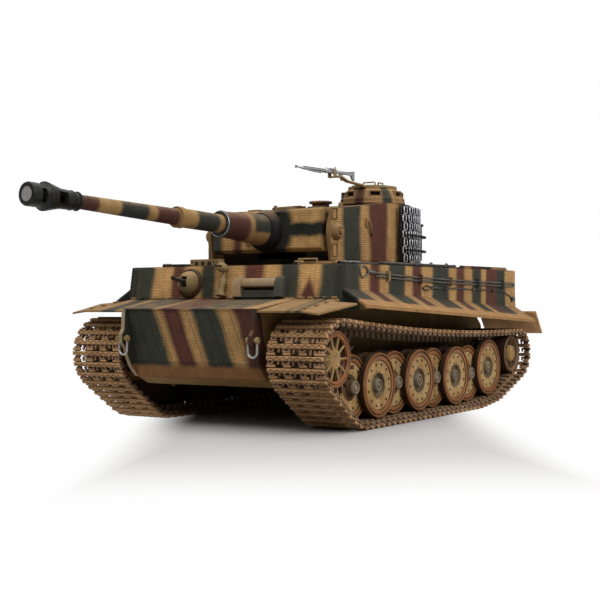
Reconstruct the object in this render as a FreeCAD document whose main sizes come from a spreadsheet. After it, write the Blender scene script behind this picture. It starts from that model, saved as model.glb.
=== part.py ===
"""A 1/16 scale radio-controlled heavy tank, built as separate pieces.

Hull frame: x = 0 is the middle plane, y = 0 lies midway between the first and the
last road-wheel axle, z = 0 is the ground. The front faces -Y and the tank's left
side is +X. Every placement adds origin_shift to y, which puts the origin under the
middle of the whole length, gun included. All sizes are in millimetres.
"""
import FreeCAD, Part
import math
import os
import re
import Sketcher

Vector = FreeCAD.Vector
Rotation = FreeCAD.Rotation
Placement = FreeCAD.Placement
X_AXIS = Vector(1, 0, 0)
Y_AXIS = Vector(0, 1, 0)
Z_AXIS = Vector(0, 0, 1)

DRIVING_SIZES = [
    ("origin_shift", 54.0, "moves the wheelbase middle to the middle of the whole length"),
    ("tub_half_width", 58.9, "lower hull, outer face of its side plate"),
    ("tub_floor", 30.0, "ground clearance"),
    ("tub_top", 84.0, "top edge of the lower hull"),
    ("tub_wall", 3.0, "lower hull plate"),
    ("hull_half_width", 96.3, "superstructure, outer face of its side plate"),
    ("roof_height", 117.2, "superstructure roof"),
    ("hull_wall", 3.0, "superstructure plate"),
    ("front_plate_foot", 124.9, "driver's plate, bottom edge, ahead of the middle"),
    ("front_plate_head", 120.4, "driver's plate, top edge, ahead of the middle"),
    ("front_plate_base", 92.5, "height of the driver's plate's bottom edge"),
    ("rear_plate", 184.0, "rear plate, behind the middle"),
    ("fender_half_width", 115.6, "outer edge of the mudguards"),
    ("axle_pitch", 32.2, "spacing of the road-wheel axles"),
    ("wheel_radius", 23.7, "road wheel"),
    ("wheel_height", 29.506, "road-wheel axle above the ground"),
    ("last_wheel_height", 33.2, "last axle, which is carried higher"),
    ("outer_wheel_width", 13.7, "outer row of road wheels"),
    ("inner_wheel_width", 15.5, "inner row of road wheels"),
    ("outer_row", 95.45, "middle of the outer row of wheels"),
    ("inner_row", 89.25, "middle of the inner row of wheels"),
    ("rim_width", 2.6, "radial thickness of a steel rim"),
    ("outer_gap_inside", -3.75, "gap between the discs of an outer-row wheel, inner end"),
    ("outer_gap_outside", 1.85, "the same gap, outer end"),
    ("inner_gap_inside", -3.35, "gap between the discs of an inner-row wheel, inner end"),
    ("inner_gap_outside", 2.75, "the same gap, outer end"),
    ("web_recess", 1.6, "how far a wheel's disc face lies inside its rim"),
    ("hub_radius", 8.2, "road-wheel hub"),
    ("axle_radius", 3.0, "stub axle"),
    ("bearing_play", 0.05, "radial running clearance"),
    ("disc_holes", 12, "holes round each wheel disc"),
    ("disc_hole_radius", 1.5, "each of those holes"),
    ("track_middle", 88.15, "middle of a track"),
    ("track_width", 45.3, "width of a track link"),
    ("link_count", 95, "links in one track"),
    ("link_pitch", 8.12, "pin to pin"),
    ("link_outside", 2.4, "pin line to the ground face"),
    ("link_inside", 3.0, "pin line to the running face"),
    ("horn_height", 4.4, "guide horn above the running face"),
    ("sprocket_ahead", 146.0, "sprocket, ahead of the middle"),
    ("sprocket_height", 51.2, "sprocket above the ground"),
    ("sprocket_teeth", 20, "teeth on each sprocket ring"),
    ("ring_offset", 15.4, "sprocket ring from the track's middle"),
    ("ring_width", 2.4, "thickness of a sprocket ring"),
    ("ring_radius", 19.6, "sprocket ring at the foot of its teeth"),
    ("idler_behind", 163.0, "idler, behind the middle"),
    ("idler_height", 43.0, "idler above the ground"),
    ("idler_radius", 16.4, "idler rim"),
    ("top_run_sag", 4.4, "sag of the track's top run"),
    ("turret_behind", 11.5, "turret ring centre, behind the middle"),
    ("turret_yaw", 4.0, "stored turret angle towards the tank's right"),
    ("turret_base", 119.5, "underside of the turret wall"),
    ("turret_roof", 169.0, "rear part of the turret roof"),
    ("turret_radius", 63.0, "turret wall, outside"),
    ("turret_wall", 3.4, "turret plate"),
    ("turret_round", 15.0, "centre of the round rear wall, behind the ring centre"),
    ("turret_front", 77.0, "front edge of the turret cheeks, ahead of the ring centre"),
    ("ring_bore", 50.1, "turret ring hole in the hull roof"),
    ("ring_play", 0.1, "play of the turret ring"),
    ("trunnion_ahead", 66.0, "trunnions, ahead of the ring centre"),
    ("trunnion_height", 144.4, "trunnions above the ground"),
    ("gun_elevation", 3.1, "stored gun elevation in degrees"),
    ("gun_reach", 252.5, "muzzle from the trunnions"),
    ("barrel_radius", 6.9, "barrel where it slides in its sleeve"),
    ("recoil_travel", 9.0, "recoil stroke"),
    ("mantlet_half_width", 53.8, "mantlet plate"),
    ("mantlet_half_height", 16.4, "mantlet plate"),
    ("mantlet_front", 14.6, "mantlet face from the trunnions"),
    ("cupola_left", 33.0, "cupola, left of the ring centre"),
    ("cupola_behind", 20.0, "cupola, behind the ring centre"),
    ("cupola_radius", 26.7, "cupola base"),
    ("cupola_top", 182.6, "cupola roof above the ground"),
    ("rail_radius", 18.0, "seat of the gun rail on the cupola"),
    ("hatch_radius", 15.2, "commander's hatch"),
    ("roof_hatch_radius", 14.5, "crew hatches in the hull roof"),
    ("roof_hatch_left", 62.0, "crew hatch from the middle plane"),
    ("roof_hatch_ahead", 98.0, "crew hatches, ahead of the middle"),
    ("shackle_eye_radius", 1.65, "bore of a towing eye"),
    ("shackle_pin_radius", 1.6, "shackle pin"),
    ("cable_radius", 0.9, "towing cable"),
    ("thin_cable_radius", 0.55, "track-changing cable"),
]

doc = FreeCAD.newDocument("tank")
sheet = doc.addObject("Spreadsheet::Sheet", "Sizes")
for row, (alias, value, meaning) in enumerate(DRIVING_SIZES, start=1):
    sheet.set("A%d" % row, meaning)
    sheet.set("B%d" % row, str(value))
    sheet.setAlias("B%d" % row, alias)
doc.recompute()
ALIASES = {alias for alias, value, meaning in DRIVING_SIZES}
sub_parts = []


def bound(text):
    """Write a sheet alias inside an expression as Sizes.alias."""
    return re.sub(r"[a-z][a-z_]+", lambda word: named(word.group(0)), text)


def named(word):
    return "Sizes." + word if word in ALIASES else word


def size(text):
    """The number that an expression over the sheet's aliases gives."""
    return float(sheet.evalExpression(bound(text)))


def at(x, y, z):
    """A point of the hull frame, moved to the part's own origin."""
    return Vector(x, y + size("origin_shift"), z)


def hull_place(x=0.0, y=0.0, z=0.0, rotation=None):
    return Placement(at(x, y, z), rotation or Rotation())


# ---------------------------------------------------------------- document helpers

def new_body(label, placement):
    body = doc.addObject("PartDesign::Body", label)
    body.Label = label
    body.Placement = placement
    sub_parts.append(body)
    return body


def origin_feature(body, role):
    return [item for item in body.Origin.OriginFeatures if item.Role == role][0]


def new_sketch(body, name, plane, offset="0"):
    sketch = body.newObject("Sketcher::SketchObject", name)
    sketch.AttachmentSupport = [(origin_feature(body, plane), "")]
    sketch.MapMode = "FlatFace"
    sketch.setExpression("AttachmentOffset.Base.z", bound(offset))
    return sketch


def fix_point(sketch, geometry, point, across, up):
    """Hold one point of a sketch at two expressions."""
    for kind, text in (("DistanceX", across), ("DistanceY", up)):
        constraint = Sketcher.Constraint(kind, geometry, point, size(text))
        index = sketch.addConstraint(constraint)
        sketch.setExpression("Constraints[%d]" % index, bound(text))


def add_outline(sketch, points):
    """A closed outline of straight lines through points given as expressions."""
    first = sketch.GeometryCount
    count = len(points)
    corners = [Vector(size(across), size(up), 0) for across, up in points]
    for start, end in zip(corners, corners[1:] + corners[:1]):
        sketch.addGeometry(Part.LineSegment(start, end), False)
    for index in range(count):
        following = first + (index + 1) % count
        sketch.addConstraint(Sketcher.Constraint("Coincident", first + index, 2, following, 1))
    for index, (across, up) in enumerate(points):
        fix_point(sketch, first + index, 1, across, up)
    return sketch


def add_circle(sketch, across, up, radius):
    centre = Vector(size(across), size(up), 0)
    index = sketch.addGeometry(Part.Circle(centre, Z_AXIS, size(radius)), False)
    constraint = sketch.addConstraint(Sketcher.Constraint("Radius", index, size(radius)))
    sketch.setExpression("Constraints[%d]" % constraint, bound(radius))
    fix_point(sketch, index, 3, across, up)
    return sketch


def add_rectangle(sketch, left, right, bottom, top):
    return add_outline(sketch, [(left, bottom), (right, bottom), (right, top), (left, top)])


def pad(body, name, sketch, length, both_ways=False):
    feature = body.newObject("PartDesign::Pad", name)
    feature.Profile = sketch
    feature.setExpression("Length", bound(length))
    feature.SideType = "Symmetric" if both_ways else "One side"
    doc.recompute()
    return feature


def pocket(body, name, sketch, length, both_ways=False, flip=False):
    before = body.Shape.Volume
    feature = body.newObject("PartDesign::Pocket", name)
    feature.Profile = sketch
    feature.setExpression("Length", bound(length))
    feature.SideType = "Symmetric" if both_ways else "One side"
    feature.Reversed = flip
    doc.recompute()
    if feature.Shape.Volume > before - 0.01:
        raise ValueError("%s of %s cuts nothing" % (name, body.Label))
    return feature


def spin(body, name, sketch, axis="H_Axis"):
    feature = body.newObject("PartDesign::Revolution", name)
    feature.Profile = sketch
    feature.ReferenceAxis = (sketch, [axis])
    feature.Angle = 360
    doc.recompute()
    return feature


def groove(body, name, sketch, axis="H_Axis"):
    before = body.Shape.Volume
    feature = body.newObject("PartDesign::Groove", name)
    feature.Profile = sketch
    feature.ReferenceAxis = (sketch, [axis])
    feature.Angle = 360
    doc.recompute()
    if feature.Shape.Volume > before - 0.01:
        raise ValueError("%s of %s cuts nothing" % (name, body.Label))
    return feature


def repeat_round(body, name, feature, axis, count):
    pattern = body.newObject("PartDesign::PolarPattern", name)
    pattern.Originals = [feature]
    pattern.Axis = (origin_feature(body, axis), [""])
    pattern.Angle = 360
    pattern.setExpression("Occurrences", bound(count))
    body.Tip = pattern
    doc.recompute()
    return pattern


def shaped(label, shape, placement=None):
    """A sub-part whose shape comes from Part's own functions."""
    feature = doc.addObject("Part::Feature", label)
    feature.Label = label
    feature.Shape = shape
    feature.Placement = placement or hull_place()
    sub_parts.append(feature)
    return feature


# ---------------------------------------------------------------- shape helpers

def block(x_low, x_high, y_low, y_high, z_low, z_high):
    corner = Vector(x_low, y_low, z_low)
    return Part.makeBox(x_high - x_low, y_high - y_low, z_high - z_low, corner)


def rod(radius, start, end):
    """A round bar between two points."""
    line = end - start
    return Part.makeCylinder(radius, line.Length, start, line)


def taper(radius_low, radius_high, start, end):
    line = end - start
    return Part.makeCone(radius_low, radius_high, line.Length, start, line)


def plate(points, thickness_vector):
    """A flat plate: its outline through 3-D points, pushed along a vector."""
    wire = Part.makePolygon(points + points[:1])
    return Part.Face(wire).extrude(thickness_vector)


def side_plate(points, x_low, x_high):
    """A plate with an outline in (y, z) between two x values."""
    return plate([Vector(x_low, y, z) for y, z in points], Vector(x_high - x_low, 0, 0))


def fuse_all(shapes):
    return shapes[0].multiFuse(shapes[1:]).removeSplitter()


def mirrored(shape):
    """The same shape on the tank's other side."""
    return shape.mirror(Vector(0, 0, 0), X_AXIS)


def tube_along(points, radius, closed=False):
    """A round cord through a list of points: straight bars joined by balls."""
    stretches = list(zip(points, points[1:] + points[:1] if closed else points[1:]))
    bars = [rod(radius, start, end) for start, end in stretches]
    balls = [Part.makeSphere(radius, point) for point in (points if closed else points[1:-1])]
    return fuse_all(bars + balls)


# ---------------------------------------------------------------- hull

def lower_hull():
    """The tub: floor, side plates and rear plate in one piece, open on top."""
    body = new_body("lower_hull", hull_place())
    side = add_outline(new_sketch(body, "tub_side", "YZ_Plane"), [
        ("-148", "tub_floor"), ("rear_plate - 8", "tub_floor"), ("rear_plate", "tub_top"),
        ("-165", "tub_top"), ("-169.7", "82.4"), ("-158.4", "35.2")])
    pad(body, "tub", side, "2 * tub_half_width", both_ways=True)
    inside = add_rectangle(new_sketch(body, "tub_inside", "XY_Plane", "tub_top"),
                           "tub_wall - tub_half_width", "tub_half_width - tub_wall",
                           "-152", "rear_plate - 12")
    pocket(body, "tub_hollow", inside, "tub_top - tub_floor - tub_wall")
    door = add_rectangle(new_sketch(body, "floor_openings", "XY_Plane", "tub_floor + tub_wall"),
                         "-24", "24", "-30", "70")
    add_rectangle(door, "-2.1", "2.1", "149.4", "158.2")
    pocket(body, "battery_and_switch_openings", door, "tub_wall + 1")
    eyes = add_outline(new_sketch(body, "rear_eye_outline", "YZ_Plane"), [
        ("rear_plate - 6", "58"), ("rear_plate + 5", "58"), ("rear_plate + 7", "61"),
        ("rear_plate + 7", "67"), ("rear_plate + 4", "70"), ("rear_plate - 4", "76")])
    pad(body, "rear_eyes", eyes, "2 * tub_half_width", both_ways=True)
    gap = add_rectangle(new_sketch(body, "between_eyes", "XY_Plane", "78"),
                        "tub_wall - tub_half_width", "tub_half_width - tub_wall",
                        "rear_plate", "rear_plate + 9")
    pocket(body, "eye_gap", gap, "22")
    eye_bores = new_sketch(body, "rear_eye_bores", "YZ_Plane")
    add_circle(eye_bores, "rear_plate + 3.4", "64", "shackle_pin_radius")
    pocket(body, "rear_eye_holes", eye_bores, "2 * tub_half_width + 2", both_ways=True)
    shafts = new_sketch(body, "drive_shaft_holes", "YZ_Plane")
    add_circle(shafts, "-sprocket_ahead", "sprocket_height", "axle_radius + bearing_play")
    pocket(body, "shaft_bores", shafts, "2 * tub_half_width + 2", both_ways=True)


def nose_armour():
    """Lower nose plate, glacis and the two side plates that end in towing eyes."""
    half = size("tub_half_width")
    nose = side_plate([(-158.6, 35.2), (-161.6, 35.2), (-162.8, 36.6), (-174.0, 84.6), (-170.5, 84.6)],
                      -half + 3.1, half - 3.1)
    glacis = side_plate([(-125.1, 90), (-125.1, 92.6), (-174.9, 85.7), (-174.9, 84.5), (-167.5, 84.5)],
                        -half - 0.3, half + 0.3)
    outline = [(-158.6, 35.2), (-162.9, 36.3), (-169.5, 43.0), (-173.6, 50.5), (-176.0, 57.5), (-180.0, 61.0),
               (-180.2, 67.4), (-177.6, 71.0), (-176.8, 84.6), (-170.5, 84.6)]
    cheek = side_plate(outline, half - 3.1, half)
    eye_y, eye_z = shackle_eye()
    eye = rod(size("shackle_eye_radius"), Vector(half - 5, eye_y, eye_z), Vector(half + 2, eye_y, eye_z))
    cheek = cheek.cut(eye)
    shaped("nose_armour", fuse_all([nose, glacis, cheek, mirrored(cheek)]))


def shackle_eye():
    return -177.2, 64.2


def shackle(label, side):
    """A U-shaped shackle hanging on its pin through a towing eye."""
    eye_y, eye_z = shackle_eye()
    middle = side * (size("tub_half_width") - 1.55)
    reach = 3.7
    pin = rod(size("shackle_pin_radius"), Vector(-reach - 1.4, 0, 0), Vector(reach + 1.4, 0, 0))
    turn = [Vector(reach * math.cos(angle), 0, -8.0 - reach * math.sin(angle))
            for angle in [math.pi * step / 6 for step in range(7)]]
    bow = tube_along([Vector(reach, 0, 0)] + turn + [Vector(-reach, 0, 0)], 0.9)
    loop = fuse_all([bow, pin])
    shaped(label, loop, hull_place(middle, eye_y, eye_z))


def upper_hull():
    """The superstructure box: front, side and rear plates, roof and sponson floors."""
    body = new_body("upper_hull", hull_place())
    side = add_outline(new_sketch(body, "box_side", "YZ_Plane"), [
        ("-front_plate_foot", "tub_top + 0.2"), ("rear_plate", "tub_top + 0.2"),
        ("rear_plate - 3", "roof_height"), ("-front_plate_head", "roof_height"),
        ("-front_plate_foot", "front_plate_base")])
    pad(body, "box", side, "2 * hull_half_width", both_ways=True)
    inside = add_rectangle(new_sketch(body, "box_inside", "XY_Plane", "roof_height - hull_wall"),
                           "hull_wall - hull_half_width", "hull_half_width - hull_wall",
                           "-117.2", "rear_plate - 6.4")
    pocket(body, "box_hollow", inside, "roof_height")
    floors = new_sketch(body, "sponson_floors", "XY_Plane", "tub_top + 0.2")
    for low, high in (("-94", "-59.1"), ("59.1", "94")):
        add_rectangle(floors, low, high, "-118", "rear_plate - 5")
    pad(body, "sponson_floor", floors, "2")
    top = new_sketch(body, "roof_openings", "XY_Plane", "roof_height")
    add_circle(top, "0", "turret_behind", "ring_bore")
    for across in ("roof_hatch_left", "-roof_hatch_left"):
        add_circle(top, across, "-roof_hatch_ahead", "roof_hatch_radius - 1.6")
    add_rectangle(top, "-84", "84", "86", "170")
    pocket(body, "roof_holes", top, "hull_wall + 0.5")
    ball_hole = new_sketch(body, "ball_hole_place", "XZ_Plane", "front_plate_foot + 2")
    add_circle(ball_hole, "-37.5", "front_plate_base + 11.9", "10.2")
    pocket(body, "ball_hole", ball_hole, "9.8")


def engine_deck():
    """Rear deck plate with framed grille windows, a raised engine hatch and vents."""
    top = size("roof_height") + 0.05
    deck = block(-91, 91, 80, 177, top, top + 1.3)
    windows = [(x, y) for x in (34, -82) for y in (92, 134)]
    for x, y in windows:
        deck = deck.cut(block(x, x + 48, y, y + 34, top - 1, top + 3))
    raised = block(-24, 24, 114, 168, top + 1.2, top + 2.8)
    vents = [rod(6.0, Vector(x, 150, top + 2.7), Vector(x, 150, top + 4.6)) for x in (-12, 12)]
    curbs = [block(side * 89.6 - 1.2, side * 89.6 + 1.2, 82, 175, top + 1.2, top + 2.6) for side in (1, -1)]
    solids = [fuse_all([deck, raised] + vents + curbs)]
    for x, y in windows:
        bars = [block(x + 0.1, x + 47.9, y + 2.2 + 4.6 * row, y + 3.4 + 4.6 * row, top + 0.3, top + 0.9)
                for row in range(7)]
        rails = [block(edge, edge + 1.0, y + 0.2, y + 33.8, top + 0.3, top + 0.9)
                 for edge in (x + 0.1, x + 23.5, x + 46.9)]
        solids.append(fuse_all(bars + rails))
    shaped("engine_deck", Part.makeCompound(solids))


def mudguards():
    """Sloping guards over the front of the tracks, each with an outer flap, and the rear ones."""
    solids = []
    inner = [Vector(59.4, -125.2, 92.2), Vector(94.9, -125.2, 92.2), Vector(94.9, -175.0, 84.4),
             Vector(59.4, -175.0, 84.4)]
    outer = [Vector(95.3, -136.0, 90.5), Vector(115.6, -136.0, 89.2), Vector(108.6, -175.2, 82.8),
             Vector(95.3, -175.0, 84.4)]
    for corners in (inner, outer):
        solids += warped_plate(corners, Vector(0, 0, -1.3))
    section = [(184.3, 80.4), (184.3, 79.0), (199.4, 60.0), (200.4, 60.0), (200.4, 61.4), (185.4, 80.4)]
    solids += [side_plate(section, 60.0, 94.9), side_plate(section, 95.3, 115.6)]
    solids += [mirrored(item) for item in solids]
    shaped("mudguards", Part.makeCompound(solids))


def warped_plate(points, drop):
    """One solid between four corners and the same corners moved by drop."""
    low = [point + drop for point in points]
    faces = [triangle(points[0], points[1], points[2]), triangle(points[0], points[2], points[3]),
             triangle(low[0], low[1], low[2]), triangle(low[0], low[2], low[3])]
    for index in range(4):
        after = (index + 1) % 4
        faces.append(Part.Face(Part.makePolygon([points[index], points[after], low[after],
                                                 low[index], points[index]])))
    return [Part.makeSolid(Part.makeShell(faces))]


def triangle(first, second, third):
    return Part.Face(Part.makePolygon([first, second, third, first]))


def side_skirts():
    """Four sloping skirt panels on each side, lower towards the rear."""
    half = size("hull_half_width")
    outer = size("fender_half_width")
    fall = -0.0508
    edges = [-124.0, -48.0, 28.0, 104.0, 184.0]
    solids = []
    for front, rear in zip(edges, edges[1:]):
        height = 99.9 + fall * (front + 124.0)
        length = rear - front - 0.6
        section = [Vector(half + 0.1, front, height), Vector(half + 0.1, front, height - 2.0),
                   Vector(outer - 1.3, front, height - 12.7), Vector(outer - 1.3, front, height - 13.9),
                   Vector(outer, front, height - 13.9), Vector(outer, front, height - 11.5)]
        solids.append(plate(section, Vector(0, length, fall * length)))
    solids += [mirrored(item) for item in solids]
    shaped("side_skirts", Part.makeCompound(solids))


def exhausts():
    """Two upright exhaust stacks on the rear plate with their curved guards."""
    solids = []
    for side in (1, -1):
        foot = Vector(side * 24, 191.2, 64)
        stack = rod(5.6, foot, foot + Vector(0, 0, 44))
        outlet = rod(3.4, foot + Vector(0, 0, 43), foot + Vector(0, 0, 52))
        bore = rod(2.4, foot + Vector(0, 0, 46), foot + Vector(0, 0, 53))
        bracket = block(side * 24 - 5, side * 24 + 5, 184.15, 188, 74, 82)
        guard = rod(8.6, foot + Vector(0, 0, 4), foot + Vector(0, 0, 36))
        guard = guard.cut(rod(7.5, foot, foot + Vector(0, 0, 40)))
        guard = guard.cut(block(side * 24 - 12, side * 24 + 12, 180, 191.2, 60, 120))
        stay = block(side * 24 - 7.9, side * 24 + 7.9, 191.3, 192.5, 84, 86)
        solids.append(fuse_all([stack, outlet, bracket, guard, stay]).cut(bore))
    shaped("exhausts", Part.makeCompound(solids))


def front_plate_frame(x, up):
    """A frame on the driver's plate: z runs up the plate and -y points out of it."""
    foot = size("front_plate_foot")
    base = size("front_plate_base")
    lean = math.degrees(math.atan2(foot - size("front_plate_head"), size("roof_height") - base))
    turn = Rotation(X_AXIS, -lean)
    return Placement(at(x, -foot, base) + turn.multVec(Vector(0, 0, up)), turn)


def driver_visor():
    """The driver's armoured vision slit: cheeks, lower block and sliding upper block."""
    solids = [fuse_all([block(-21.5, 21.5, -3.6, -0.1, 0.4, 6.0), block(-21.5, -15.5, -6.4, -0.1, 0.4, 15.6),
                        block(15.5, 21.5, -6.4, -0.1, 0.4, 15.6)]),
              block(-15.3, 15.3, -6.0, -0.1, 8.2, 15.0)]
    shaped("driver_visor", Part.makeCompound(solids), front_plate_frame(28.0, 0.0))


def headlight():
    """Blackout headlight on a conical stand at the middle of the driver's plate."""
    stem = taper(3.4, 1.5, Vector(0, -3.8, 2.0), Vector(0, -5.8, 20.0))
    foot = block(-2.4, 2.4, -4.4, -0.1, 2.0, 5.0)
    lamp = taper(2.6, 3.3, Vector(0, -3.0, 22.6), Vector(0, -7.0, 22.6))
    dome = Part.makeSphere(3.8, Vector(0, -7.2, 22.6))
    slot = block(-2.4, 2.4, -12, -9.9, 22.2, 23.0)
    shaped("headlight", fuse_all([stem, foot, lamp, dome]).cut(slot), front_plate_frame(-5.2, 0.0))


def bow_mount_place():
    return front_plate_frame(-37.5, 11.9)


def bow_gun_collar():
    """Fixed armour ring round the bow machine gun's ball."""
    ring = taper(11.4, 10.4, Vector(0, -0.1, 0), Vector(0, -3.2, 0))
    ball = Part.makeSphere(9.3, Vector(0, -1.0, 0))
    pivots = [rod(0.7, Vector(0, -1.0, side * 10.4), Vector(0, -1.0, side * 7.4)) for side in (1, -1)]
    shaped("bow_gun_collar", fuse_all([ring.cut(ball)] + pivots), bow_mount_place())


def bow_ball():
    """The ball cover, with a slot that lets the gun pitch."""
    ball = Part.makeSphere(9.2, Vector(0, -1.0, 0)).common(block(-10, 10, -12, 0.4, -10, 10))
    slot = block(-1.9, 1.9, -12, 1, -5.5, 5.5)
    upright = rod(0.75, Vector(0, -1.0, -10), Vector(0, -1.0, 10))
    cross = rod(0.75, Vector(-5, -1.0, 0), Vector(5, -1.0, 0))
    shaped("bow_ball", ball.cut(slot).cut(upright).cut(cross), bow_mount_place())


def bow_gun():
    """The bow machine gun's barrel on its cross pivot inside the ball."""
    jacket = rod(1.5, Vector(0, 0.8, 0), Vector(0, -16.0, 0))
    muzzle = rod(1.0, Vector(0, -15.8, 0), Vector(0, -22.0, 0))
    pivot = rod(0.7, Vector(-4.6, -1.0, 0), Vector(4.6, -1.0, 0))
    shaped("bow_gun", fuse_all([jacket, muzzle, pivot]), bow_mount_place())


def roof_hatch(label, side):
    """A round crew hatch with its hinge barrel towards the tank's side."""
    radius = size("roof_hatch_radius")
    lid = rod(radius, Vector(0, 0, 0.1), Vector(0, 0, 1.7))
    raised = rod(radius - 3.0, Vector(0, 0, 1.6), Vector(0, 0, 2.3))
    reach = side * (radius + 1.3)
    barrel = rod(0.9, Vector(reach, -5, 1.3), Vector(reach, 5, 1.3))
    leaf = block(min(side * 10, reach), max(side * 10, reach), -4, 4, 1.0, 2.0)
    place = hull_place(side * size("roof_hatch_left"), -size("roof_hatch_ahead"), size("roof_height"))
    shaped(label, fuse_all([lid, raised, barrel, leaf]), place)


def roof_brackets():
    """The driver's periscope guard and the ventilator cover on the front of the hull roof."""
    top = size("roof_height") + 0.05
    corners = [Vector(x, -116.4, z) for x, z in
               ((55.5, top + 0.05), (55.5, top + 3.6), (71.0, top + 3.6), (71.0, top + 0.05))]
    guard = tube_along(corners, 0.65).cut(block(-80, 80, -120, -110, top - 3, top))
    cover = block(-42.0, -16.0, -117.4, -109.4, top, top + 5.2)
    shaped("roof_brackets", Part.makeCompound([guard, cover]))


def tow_cables():
    """A steel towing cable doubled along each side and a thin one on the left."""
    radius = size("cable_radius")
    thin = size("thin_cable_radius")
    x = size("hull_half_width") + 1.3
    heavy = [Vector(x, -88, 111.6), Vector(x, -40, 109.4), Vector(x, 30, 107.6), Vector(x, 172, 105.4),
             Vector(x, 175, 104.0), Vector(x, 172, 102.8), Vector(x, 30, 105.0), Vector(x, -40, 106.9),
             Vector(x, -78, 108.6)]
    eye = ring_of_rod(Vector(x, -93.4, 111.8), 4.0, radius)
    ferrule = rod(1.25, Vector(x, -90.6, 111.7), Vector(x, -82, 111.3))
    cable = fuse_all([tube_along(heavy, radius), eye, ferrule])
    fine_x = size("hull_half_width") + 0.8
    fine = [Vector(fine_x, 16, 100.4), Vector(fine_x, 60, 100.0), Vector(fine_x, 146, 98.8),
            Vector(fine_x, 160, 96.6), Vector(fine_x, 174, 91.6)]
    loop = [Vector(fine_x, 16, 100.4), Vector(fine_x, 2, 102.6), Vector(fine_x, -3, 100.2), Vector(fine_x, 2, 98.2)]
    thin_cable = fuse_all([tube_along(fine, thin), tube_along(loop, thin, closed=True)])
    shaped("tow_cables", Part.makeCompound([cable, mirrored(cable), thin_cable]))


def ring_of_rod(centre, radius, thickness):
    return Part.makeTorus(radius, thickness, centre, X_AXIS)


def cable_clips():
    """Strap clips that hold the cables against the hull sides."""
    half = size("hull_half_width")
    solids = []
    for y, z in ((-60, 109.0), (-8, 107.2), (46, 105.9), (98, 105.1), (150, 104.2)):
        strap = block(half + 0.05, half + 3.0, y - 1.2, y + 1.2, z - 3.6, z + 3.6)
        solids.append(strap.cut(block(half - 1, half + 2.4, y - 2, y + 2, z - 2.6, z + 2.6)))
    solids += [mirrored(item) for item in solids]
    for y, z in ((36, 100.2), (90, 99.5), (130, 99.0)):
        strap = block(half + 0.05, half + 2.0, y - 0.8, y + 0.8, z - 1.5, z + 1.5)
        solids.append(strap.cut(block(half - 1, half + 1.5, y - 2, y + 2, z - 0.9, z + 0.9)))
    shaped("cable_clips", Part.makeCompound(solids))


def deck_tools():
    """Cleaning rods, shovel, crowbar and axe along the edges of the hull roof."""
    top = size("roof_height") + 0.1
    rods = [rod(0.85, Vector(x, -58, top + 0.85), Vector(x, 66, top + 0.85)) for x in (89.0, 90.9, 92.8)]
    straps = [block(87.6, 94.2, y, y + 1.6, top + 1.9, top + 2.5) for y in (-40, 10, 52)]
    posts = [block(x, x + 0.6, y, y + 1.6, top - 0.05, top + 2.4)
             for x in (87.4, 93.8) for y in (-40, 10, 52)]
    bundle = fuse_all(rods + straps + posts)
    shovel = fuse_all([rod(0.9, Vector(84.6, -88, top + 0.95), Vector(84.6, -44, top + 0.95)),
                       block(79.5, 89.7, -104, -87.5, top, top + 1.2)])
    crowbar = rod(0.8, Vector(82.0, -30, top + 0.8), Vector(82.0, 62, top + 0.8))
    axe = fuse_all([rod(0.8, Vector(-86, -60, top + 0.8), Vector(-86, 0, top + 0.8)),
                    block(-91, -84, -62, -56, top, top + 1.6)])
    sledge = fuse_all([rod(0.9, Vector(-90, 14, top + 0.9), Vector(-90, 66, top + 0.9)),
                       block(-92, -86, 64, 69, top, top + 3.0)])
    shaped("deck_tools", Part.makeCompound([bundle, shovel, crowbar, axe, sledge]))


# ---------------------------------------------------------------- running gear

def axle_y(axle):
    return (axle - 4.5) * size("axle_pitch")


def axle_z(axle):
    return size("last_wheel_height" if axle == 8 else "wheel_height")


def wheel_row(axle):
    """Even axles carry the outer row of wheels, odd axles the inner row."""
    return "outer" if axle % 2 == 0 else "inner"


def road_wheel(label, side, axle):
    """A wheel of two steel discs turning on its stub axle; the rows interleave."""
    row = wheel_row(axle)
    half = row + "_wheel_width / 2"
    turn = Rotation(Z_AXIS, 0 if side > 0 else 180)
    body = new_body(label, hull_place(side * size(row + "_row"), axle_y(axle), axle_z(axle), turn))
    hub_end = half + (" - 0.2" if row == "outer" else " + 4.0")
    web = half + " - web_recess"
    inside = row + "_gap_inside"
    outside = row + "_gap_outside"
    bore = "axle_radius + bearing_play"
    profile = [("-(" + half + ")", bore), ("-(" + half + ")", "wheel_radius"), (inside, "wheel_radius"),
               (inside, "hub_radius - 0.4"), (outside, "hub_radius - 0.4"), (outside, "wheel_radius"),
               (half, "wheel_radius"), (half, "wheel_radius - rim_width"),
               (web, "wheel_radius - rim_width - 0.8"), (web, "hub_radius"), (hub_end, "4.6"),
               (hub_end, "0"), (hub_end + " - 1.2", "0"), (hub_end + " - 1.2", bore)]
    spin(body, "discs", add_outline(new_sketch(body, "wheel_section", "XY_Plane"), profile))
    hole = add_circle(new_sketch(body, "hole_place", "YZ_Plane", web + " + 1"), "0",
                      "(wheel_radius + hub_radius) / 2 + 1", "disc_hole_radius")
    cut = pocket(body, "disc_hole", hole, "(" + web + ") - (" + outside + ") + 2")
    repeat_round(body, "disc_hole_ring", cut, "X_Axis", "disc_holes")


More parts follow.
